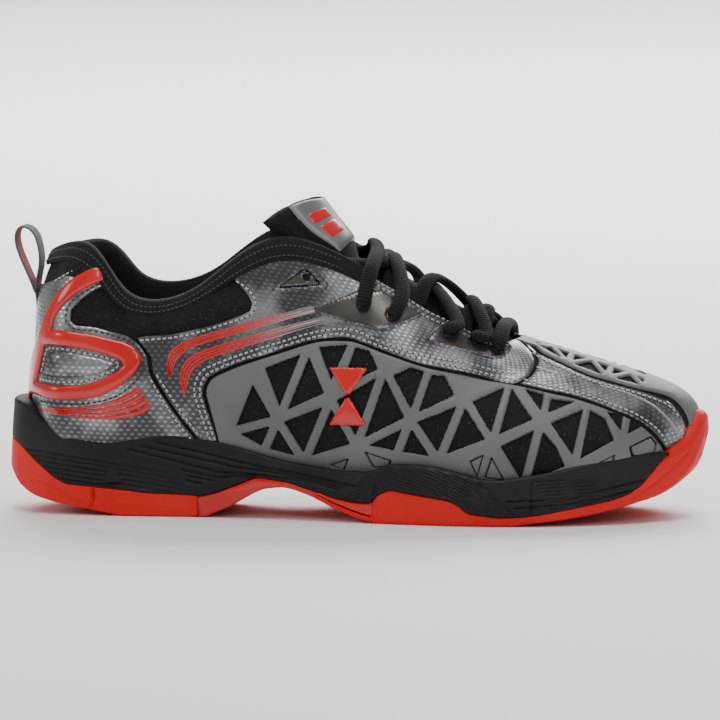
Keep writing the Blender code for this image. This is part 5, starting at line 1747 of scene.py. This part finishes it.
def sole_part(name, first, last, low, high, look, nodes, relief=None, rows=14,
              low_round=1.0, high_round=0.5, cup=None, tread=None, spacing=3.0):
    """One piece of the sole: a moulded wall round the plan, and an upper and lower face."""
    plan, inwards, cut = plan_piece(first, last)
    x = plan[:, 0]
    bottom, top = at_x(low, x), np.maximum(at_x(high, x), at_x(low, x) + 0.35)
    shares = np.linspace(0, 1, rows + 1)
    shares = 0.5 * (shares + shares * shares * (3 - 2 * shares))
    rings = []
    for share in shares:
        z = bottom + (top - bottom) * share
        wall = np.interp(z, *zip(*SOLE_WALL))
        below, above = z - bottom, top - z
        for gap, radius in ((below, low_round), (above, high_round + at_x(BUMPER_ROUND, x))):
            size = np.minimum(radius, 0.45 * (top - bottom))
            deep = np.clip(size - gap, 0, None)
            wall = wall + size - np.sqrt(np.maximum(size * size - deep * deep, 0))
        if relief is not None and 0 < share < 1:
            side_y = np.interp(x, LATERAL_PLAN[:, 0], LATERAL_PLAN[:, 1])
            shown = np.array([to_drawing(*p) for p in zip(x, side_y, z)])
            edge = np.clip(np.minimum(below, above) / 0.8, 0, 1)
            wall = wall - relief(shown[:, 0], shown[:, 1]) * edge
        wall = np.where(cut, 0.0, wall)
        spot = plan + inwards * wall[:, None]
        rings.append(np.concatenate([spot, z[:, None]], axis=1))
    if cup is not None:
        rings += cup(plan, inwards, cut, bottom, top)
    vertices = np.concatenate(rings)
    count = len(plan)
    faces = wall_faces(len(rings), count)

    def under(px, py):
        z = at_x(low, px)
        if cup is foam_cup:
            return np.minimum(z, foot_level(px) - 2.5)
        return z + (tread(px, py) if tread else 0.0)

    def over(px, py):
        if cup is foam_cup:
            return foot_level(px) - 1.2
        if cup is rubber_cup:
            return np.minimum(at_x(low, px) + OUTSOLE_FLOOR, at_x(high, px) - 0.2)
        return at_x(high, px)

    extra, lower = cap(rings[0], under, spacing)
    base = len(vertices)
    faces += [tuple(i if i < count else base + i - count for i in f) for f in lower]
    vertices = np.concatenate([vertices, extra])
    extra, upper = cap(rings[-1], over, 3.0)
    base, shift = len(vertices), (len(rings) - 1) * count
    faces += [tuple(i + shift if i < count else base + i - count for i in f) for f in upper]
    vertices = np.concatenate([vertices, extra])
    return finish_piece(name, vertices, faces, look, "shoe", nodes, None, 40)


def against_last(plan, z, lift):
    """Points at the last's surface beside a ring round the sole."""
    points, keys = [], []
    for (x, y), height in zip(plan, z):
        hit, _, index, _ = TREE.find_nearest(Vector((x, y, height)))
        place = place_of_hit(hit, index)
        keys.append(place[0])
        spot = on_last([place], lift)[0]
        points.append((spot[0], spot[1], height))
    return np.array(points), keys


def foam_cup(plan, inwards, cut, bottom, top):
    """The foam's top edge, its slope to the upper, and the bed that the foot board lies on."""
    lip, keys = against_last(plan, top - 0.2, -0.6)
    bed = on_last([(key, 0.0) for key in keys], -0.7)
    bed[:, 2] -= 1.2
    for ring in (lip, bed):
        ring[cut] = np.concatenate([plan[cut], top[cut, None]], axis=1)
    return [lip, bed]


def rubber_cup(plan, inwards, cut, bottom, top):
    """The rubber's upper edge, turned in over the foam and down to its floor."""
    wall = np.where(cut, 0.0, np.interp(top, *zip(*SOLE_WALL)) + OUTSOLE_WALL)
    inner = plan + inwards * wall[:, None]
    hug, _ = against_last(plan, top, -0.6)
    share = np.clip((plan[:, 0] - 279.0) / 6.0, 0, 1)[:, None] * ~cut[:, None]
    inner = inner * (1 - share) + hug[:, :2] * share
    floor = np.minimum(bottom + OUTSOLE_FLOOR, top - 0.2)
    return [np.concatenate([inner, top[:, None] - 0.1], axis=1),
            np.concatenate([inner, floor[:, None]], axis=1)]


def tread(x, y):
    """Herringbone grooves pressed up into the outsole, clear of a plain rim."""
    flat = np.column_stack([x, y])
    rim = np.clip((nearest(flat, PLAN) - 5.0) / 1.5, 0, 1)
    zig = np.abs((y / 15.0) % 2.0 - 1.0) * 15.0
    wave = np.sin((x + zig * 0.9) * 2 * math.pi / 6.4)
    channel = np.clip((wave - 0.15) / 0.35, 0, 1)
    pivot = np.clip((np.hypot(x - 205, y - 6) - 11) / 1.0, 0, 1)
    ring = np.exp(-((np.hypot(x - 205, y - 6) - 12) / 1.0) ** 2)
    return rim * (channel * pivot * 1.3 + ring * 1.3)


def moulded_look(name, dark, light, rough, grain_scale, grid=0.0, gloss=0.0):
    """A moulded surface: fine grain, slow cloudiness and, on rubber, a faint square grid."""
    look = Look(name, specular_ior_level=0.3)
    place = look.place()
    grain = look.noise(place, grain_scale, 2.0)
    cloud = look.ramp(look.noise(place, 26.0, 3.0), 0.3, 0.7)
    look.colour(cloud, dark, light)
    look.set("Roughness", rough - 0.08 + grain * 0.16)
    look.set("Coat Weight", gloss + cloud * 0.1)
    height = grain
    if grid:
        x, _, z = look.parts(place)
        squares = x.wave(grid) + z.wave(grid)
        height = grain * 0.4 + squares * 0.16
    look.bump(height, 0.00012, 0.6)
    return look


def make_sole():
    red = moulded_look("red_rubber_moulding", (0.66, 0.006, 0.005), (0.72, 0.009, 0.007), 0.6,
                       1400.0, 0.0011)
    foam = moulded_look("black_foam_moulding", (0.006, 0.006, 0.0064), (0.0105, 0.0105, 0.011),
                        0.62, 1700.0)
    arch = moulded_look("red_arch_plastic", (0.58, 0.004, 0.003), (0.66, 0.006, 0.004), 0.2,
                        300.0, gloss=0.7)
    sole_part("heel_rubber", -20.0, HEEL_END, BOTTOM_LINE, RUBBER_LINE, red,
              ("outsole_heel",), rubber_relief, 26, 1.2, 0.5, rubber_cup, tread, 1.5)
    sole_part("forefoot_rubber", LIP_START, 330.0, BOTTOM_LINE, FORE_LINE, red,
              ("outsole_forefoot",), rubber_relief, 26, 1.2, 0.5, rubber_cup, tread, 1.5)
    sole_part("arch_plate", HEEL_END + 0.3, SHANK_END, ARCH_LOW, RUBBER_LINE, arch,
              ("shank_plate",), None, 14, 1.4, 1.1)
    sole_part("foam_midsole", -20.0, 291.0, RUBBER_LINE + 0.15, RIM_LINE, foam,
              ("midsole",), foam_relief, 64, 0.4, 1.4, foam_cup, None, 4.0)


LIP_HEIGHTS = np.maximum(RUBBER_LINE - 6.3, BOTTOM_LINE + 2.4)
FORE_LINE = np.where(SOLE_X > SHANK_END, RUBBER_LINE, LIP_HEIGHTS)
ARCH_LOW = np.where(SOLE_X > LIP_START, LIP_HEIGHTS + 0.2, BOTTOM_LINE)
make_sole()

# ---- tongue
# A padded tongue of black mesh. It lies under the laces, sewn in at the toe end, and its
# thick free top stands up out of the throat with a silver tab on it.
TONGUE_DROP = 7.2
TONGUE_KEYS = [8.35, 7.8, 7.2, 6.6, 6.1, 5.75]
FLAP = [
    [(150.5, 0, 117), (148.5, 12.5, 114.5), (144, 18, 108)],
    [(143.5, 0, 126.5), (138, 13.5, 123.5), (129.5, 19, 114)],
    [(138.5, 0, 133), (131, 14, 131), (119.5, 20, 122.5)],
    [(136, 0, 136), (127.5, 14, 135.5), (115, 20.5, 127)],
]
TONGUE_THICK = (2.6, 3.0, 3.0, 3.0, 3.2, 3.6, 4.6, 5.8, 6.6, 6.8)
TONGUE_STEPS = 9


def tongue_section(key):
    edges = on_last([(key, 0.985), (KEY_COUNT - key, 0.985)], -TONGUE_DROP)
    wings = on_last([(key, 0.86), (KEY_COUNT - key, 0.86)], -TONGUE_DROP)
    centre = edges.mean(axis=0)
    centre[2] = crest_height(centre[0])
    shoulders = edges * 0.5 + centre * 0.5
    shoulders[:, 2] = edges[:, 2] + 0.6 * (centre[2] - edges[:, 2])
    return [wings[0], edges[0], shoulders[0], centre, shoulders[1], edges[1], wings[1]]


def flap_section(row):
    centre, shoulder, edge = (np.array(p, float) for p in row)
    flip = np.array([1.0, -1.0, 1.0])
    line = np.array([edge * flip, shoulder * flip, centre, shoulder, edge])
    return list(through(line, False, np.linspace(0, 4, 7)))


def shape_tongue(across=8):
    sections = [tongue_section(key) for key in TONGUE_KEYS] + [flap_section(row) for row in FLAP]
    grid = np.array(sections)
    last = len(sections) - 1
    rows = through(grid, False, np.linspace(0, last, last * TONGUE_STEPS + 1))
    grid = through(rows.transpose(1, 0, 2), False, np.linspace(0, 6, 6 * across + 1))
    grid = grid.transpose(1, 0, 2)
    normal = unit(np.cross(np.gradient(grid, axis=0), np.gradient(grid, axis=1)))
    if normal[len(rows) // 2, 3 * across, 2] < 0:
        normal = -normal
    return grid, normal


TONGUE, TONGUE_NORMALS = shape_tongue()
TONGUE_ROWS, TONGUE_COLUMNS = TONGUE.shape[:2]


def on_tongue(s, t, lift):
    """A point over the tongue: s along it in sections, t across it from -1 to 1."""
    row = np.clip(s * TONGUE_STEPS, 0, TONGUE_ROWS - 1.001)
    column = np.clip((t + 1) * 0.5 * (TONGUE_COLUMNS - 1), 0, TONGUE_COLUMNS - 1.001)
    i, j = int(row), int(column)
    f, g = row - i, column - j
    spot = np.zeros(3)
    for di, wi in ((0, 1 - f), (1, f)):
        for dj, wj in ((0, 1 - g), (1, g)):
            point = TONGUE[i + di, j + dj] + TONGUE_NORMALS[i + di, j + dj] * lift
            spot = spot + point * wi * wj
    return spot


def sheet_solid(name, upper, lower, look, body, nodes, smooth=80):
    """A closed pad between two grids of points that meet round their rim."""
    count, width = upper.shape[:2]
    vertices = np.concatenate([upper.reshape(-1, 3), lower.reshape(-1, 3)])
    half = count * width
    faces = []
    for i in range(count - 1):
        for j in range(width - 1):
            a, b = i * width + j, (i + 1) * width + j
            faces.append((a, b, b + 1, a + 1))
            faces.append((half + a, half + a + 1, half + b + 1, half + b))
    rim = [(i, 0) for i in range(count)] + [(count - 1, j) for j in range(1, width)]
    rim += [(i, width - 1) for i in range(count - 2, -1, -1)]
    rim += [(0, j) for j in range(width - 2, 0, -1)]
    for (i, j), (k, m) in zip(rim, rim[1:] + rim[:1]):
        a, b = i * width + j, k * width + m
        faces.append((a, b, half + b, half + a))
    along, sideways = run_along(upper[:, width // 2]), run_along(upper[count // 2])
    uv = [(sideways[j] * MM, along[i] * MM) for i in range(count) for j in range(width)] * 2
    return finish_piece(name, vertices, faces, look, body, nodes, uv, smooth)


def make_tongue():
    look = mesh_look("tongue_air_mesh", 0.0013, (0.003, 0.003, 0.0032), (0.02, 0.02, 0.021), 0.25)
    s = np.linspace(0, 9, TONGUE_ROWS)
    thick = np.interp(s, np.arange(10), TONGUE_THICK)
    puff = np.interp(s, [0, 5.3, 6.3, 9], [0.0, 0.0, 1.3, 1.6])
    t = np.linspace(-1, 1, TONGUE_COLUMNS)
    side_gap = (1 - np.abs(t)) * 26.0
    end_gap = (9 - s) * 7.0
    gap = np.minimum(side_gap[None, :], end_gap[:, None])
    edge = np.sqrt(np.clip(1 - (1 - np.clip(gap / 3.2, 0, 1)) ** 2, 0, 1))
    swell = np.clip(gap / 9.0, 0, 1)
    swell = 1 - (1 - swell) ** 2
    seam = np.exp(-((gap - 7.5) / 0.9) ** 2) * (s[:, None] > 6.0)
    lift = (puff[:, None] * swell - 0.9 * seam) * edge - (1 - edge) * thick[:, None] * 0.5
    upper = TONGUE + TONGUE_NORMALS * lift[..., None]
    drop = thick[:, None] * (0.5 + 0.5 * edge)
    lower = TONGUE - TONGUE_NORMALS * drop[..., None]
    tongue = sheet_solid("padded_tongue", upper, lower, look, None, ())
    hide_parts("tongue_lower", "tongue_flap")
    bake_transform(tongue)


def tongue_patch(name, ss, ts, low, high, look, body, nodes, rows=26, columns=30,
                 round_edge=1.6):
    """A sewn-on patch over the tongue, its rim rounded."""
    s, t = np.linspace(*ss, rows), np.linspace(*ts, columns)
    wide = (ts[1] - ts[0]) * 26.0
    tall = (ss[1] - ss[0]) * 7.5
    x = np.linspace(-0.5, 0.5, columns) * wide
    y = np.linspace(-0.5, 0.5, rows) * tall
    gap = np.minimum(0.5 * tall - np.abs(y)[:, None], 0.5 * wide - np.abs(x)[None, :])
    edge = np.clip(gap / round_edge, 0, 1)
    rise = low + (high - low) * np.sqrt(1 - (1 - edge) ** 2) * 0.9 + 0.1 * (high - low)
    upper = np.array([[on_tongue(si, ti, rise[i, j]) for j, ti in enumerate(t)]
                      for i, si in enumerate(s)])
    lower = np.array([[on_tongue(si, ti, low - 0.2) for ti in t] for si in s])
    return sheet_solid(name, upper, lower, look, body, nodes, smooth=50)


def satin_look():
    look = Look("silver_tab_film", coat_weight=0.2, coat_roughness=0.2, metallic=0.55)
    place = look.place()
    grain = look.noise(place, 900.0, 2.0)
    cloud = look.noise(place, 60.0, 2.0)
    look.colour(cloud, (0.16, 0.16, 0.165), (0.27, 0.27, 0.275))
    look.set("Roughness", 0.34 + grain * 0.14)
    look.bump(grain, 0.00006, 0.5)
    return look


SATIN = satin_look()


def make_tongue_trim():
    tongue_patch("tongue_tab", (6.05, 8.75), (-0.62, 0.62), 1.2, 2.1, SATIN, "tongue_flap",
                 ("tongue_label",))
    parts = []
    for k, (near, far) in enumerate(((6.5, 7.05), (7.2, 7.75))):
        parts.append(tongue_patch(f"tab_bar_{k}", (near, far), (-0.5, -0.16), 2.0, 2.4, RED_FILM,
                                  None, (), 8, 12, 0.4))
    join_pieces("tab_bars", parts, (), "tongue_flap")
    for k, place in enumerate((4.15, 2.55, 1.05)):
        tongue_patch(f"lace_strap_{k}", (place - 0.3, place + 0.3), (-0.5, 0.5), 0.1, 1.0,
                     BINDING, "shoe", ("lace_keeper",) if k == 0 else (), 10, 30,
                     0.5)


make_tongue()
make_tongue_trim()

# ---- heel loop
# A woven ribbon, grey outside and red inside with grey edges, sewn in behind the heel.
LOOP_PATH = [
    (11.9, 94.2), (10.4, 98.2), (7.6, 104.5), (4.5, 112), (3.4, 118.3), (5.4, 122.2), (9.4, 121.6),
    (12.4, 117.6), (13.9, 111), (13.9, 105.4), (12.9, 100.2), (12.3, 95.2),
]
LOOP_WIDTH = 12.0
LOOP_THICK = 1.1


def ribbon_look():
    look = Look("woven_ribbon", roughness=0.75, sheen_weight=0.05, specular_ior_level=0.3)
    u, v, _ = look.parts(look.place("UV"))
    across = (v * (2 * math.pi)).do("COSINE").do("ABSOLUTE")
    rib = u.wave(0.00085)
    edge = look.ramp(across, 0.3, 0.42)
    tone = look.grain(1500.0)
    red = look.mix(tone, (0.4, 0.003, 0.004), (0.56, 0.006, 0.006))
    shade = look.ramp(rib * 0.4 + tone, 0.2, 0.9)
    grey = look.mix(shade, (0.05, 0.052, 0.052), (0.2, 0.206, 0.206))
    inner_face = look.ramp((v * (2 * math.pi)).do("SINE"), 0.0, 0.2)
    look.colour(inner_face * (1.0 - edge), grey, red)
    look.bump(rib + tone * 0.5, 0.0002, 0.8)
    return look


def make_loop():
    look = ribbon_look()
    for name, keys, body, nodes in (
        ("heel_loop_ribbon", LOOP_PATH, "pull_loop", ("pull_loop",)),
        ("heel_loop_root", [(13.1, 84), (13.0, 88), (12.7, 92), (12.1, 94.6)], "shoe",
         ("pull_loop_anchor",)),
    ):
        path = np.array([(x, 0.0, z) for x, z in keys])
        steps = np.linspace(0, len(keys) - 1, (len(keys) - 1) * 8 + 1)
        line = through(path, False, steps)
        ways = np.gradient(line, axis=0)
        ups = unit(np.stack([ways[:, 2], 0 * ways[:, 0], -ways[:, 0]], axis=1))
        count = len(line)
        vertices, faces, uv = sweep(line, np.full(count, LOOP_WIDTH), np.full(count, LOOP_THICK),
                                    ups, 32, 0.45)
        finish_piece(name, vertices, faces, look, body, nodes, uv, 60)


make_loop()

# ---- inside
# The removable sockliner with its knitted top, in a heel and a forefoot part, the lining
# against the heel, and the stiffeners and the board that stay hidden between the layers.
SOCKLINER = (2.4, 5.9)
FOOTBED_INSET = -4.3
FLEX_X = 185.0


def make_sockliner():
    look = knit_look("sockliner_knit", (0.006, 0.006, 0.0065), (0.03, 0.03, 0.032), 0.0016)
    places = np.column_stack([np.arange(0, KEY_COUNT, 1 / 14), np.zeros(KEY_COUNT * 14)])
    edge = on_last(places, FOOTBED_INSET)
    for word, first, last in (("heel", -20.0, FLEX_X - 0.2), ("forefoot", FLEX_X + 0.2, 330.0)):
        keep = (edge[:, 0] > first) & (edge[:, 0] < last)
        start = int(np.argmax(keep & ~np.roll(keep, 1)))
        order = [k for k in np.roll(np.arange(len(edge)), -start) if keep[k]]
        ring = edge[order]
        cut_x = last if word == "heel" else first
        here, there = ring[-1], ring[0]
        steps = int(abs(there[1] - here[1]) / 2.0)
        line = [[cut_x, here[1] + (there[1] - here[1]) * t, here[2] + (there[2] - here[2]) * t]
                for t in (np.arange(steps + 2)) / (steps + 1)]
        ring = np.concatenate([ring, line])
        middle = np.array([ring[:, 0].mean(), ring[:, 1].mean()])
        rings = []
        for level, shrink in ((SOCKLINER[0], 0.0), (SOCKLINER[1] - 0.8, 0.0),
                              (SOCKLINER[1] - 0.2, 0.3), (SOCKLINER[1], 1.0)):
            spot = ring[:, :2] + unit(middle - ring[:, :2]) * shrink
            rings.append(np.concatenate([spot, ring[:, 2:] + level], axis=1))
        vertices = np.concatenate(rings)
        count = len(ring)
        faces = wall_faces(len(rings), count)
        for r, level in ((0, SOCKLINER[0]), (3, SOCKLINER[1])):
            extra, lid = cap(rings[r], lambda px, py: foot_level(px) + level, 3.0)
            base = len(vertices)
            faces += [tuple(i + r * count if i < count else base + i - count for i in f)
                      for f in lid]
            vertices = np.concatenate([vertices, extra])
        uv = vertices[:, :2] * MM
        body = "sockliner_heel" if word == "heel" else "shoe"
        pad = finish_piece(f"sockliner_{word}_pad", vertices, faces, look, body,
                           (f"sockliner_{word}",), uv, 40)


LINING_PROFILE = [
    (0.04, -3.5), (0.2, -3.5), (0.4, -3.5), (0.58, -3.5), (0.64, -3.8), (0.58, -4.15),
    (0.4, -4.15), (0.2, -4.15), (0.04, -4.1),
]


def board_look(name, dark, light):
    look = Look(name, roughness=0.9)
    fibre = look.noise(look.place(), 600.0, 4.0)
    look.colour(fibre, dark, light)
    look.bump(fibre, 0.0002, 0.5)
    return look


def make_inside():
    make_sockliner()
    band_round("heel_lining", LINING_PROFILE, 5.2, 150, LINING, "shoe", ())
    board = board_look("fibre_board", (0.3, 0.27, 0.22), (0.45, 0.42, 0.36))
    for node in ("insole_board", "heel_stiffener", "toe_stiffener"):
        bpy.data.objects[node].data.materials.clear()
        bpy.data.objects[node].data.materials.append(board.material)


make_inside()
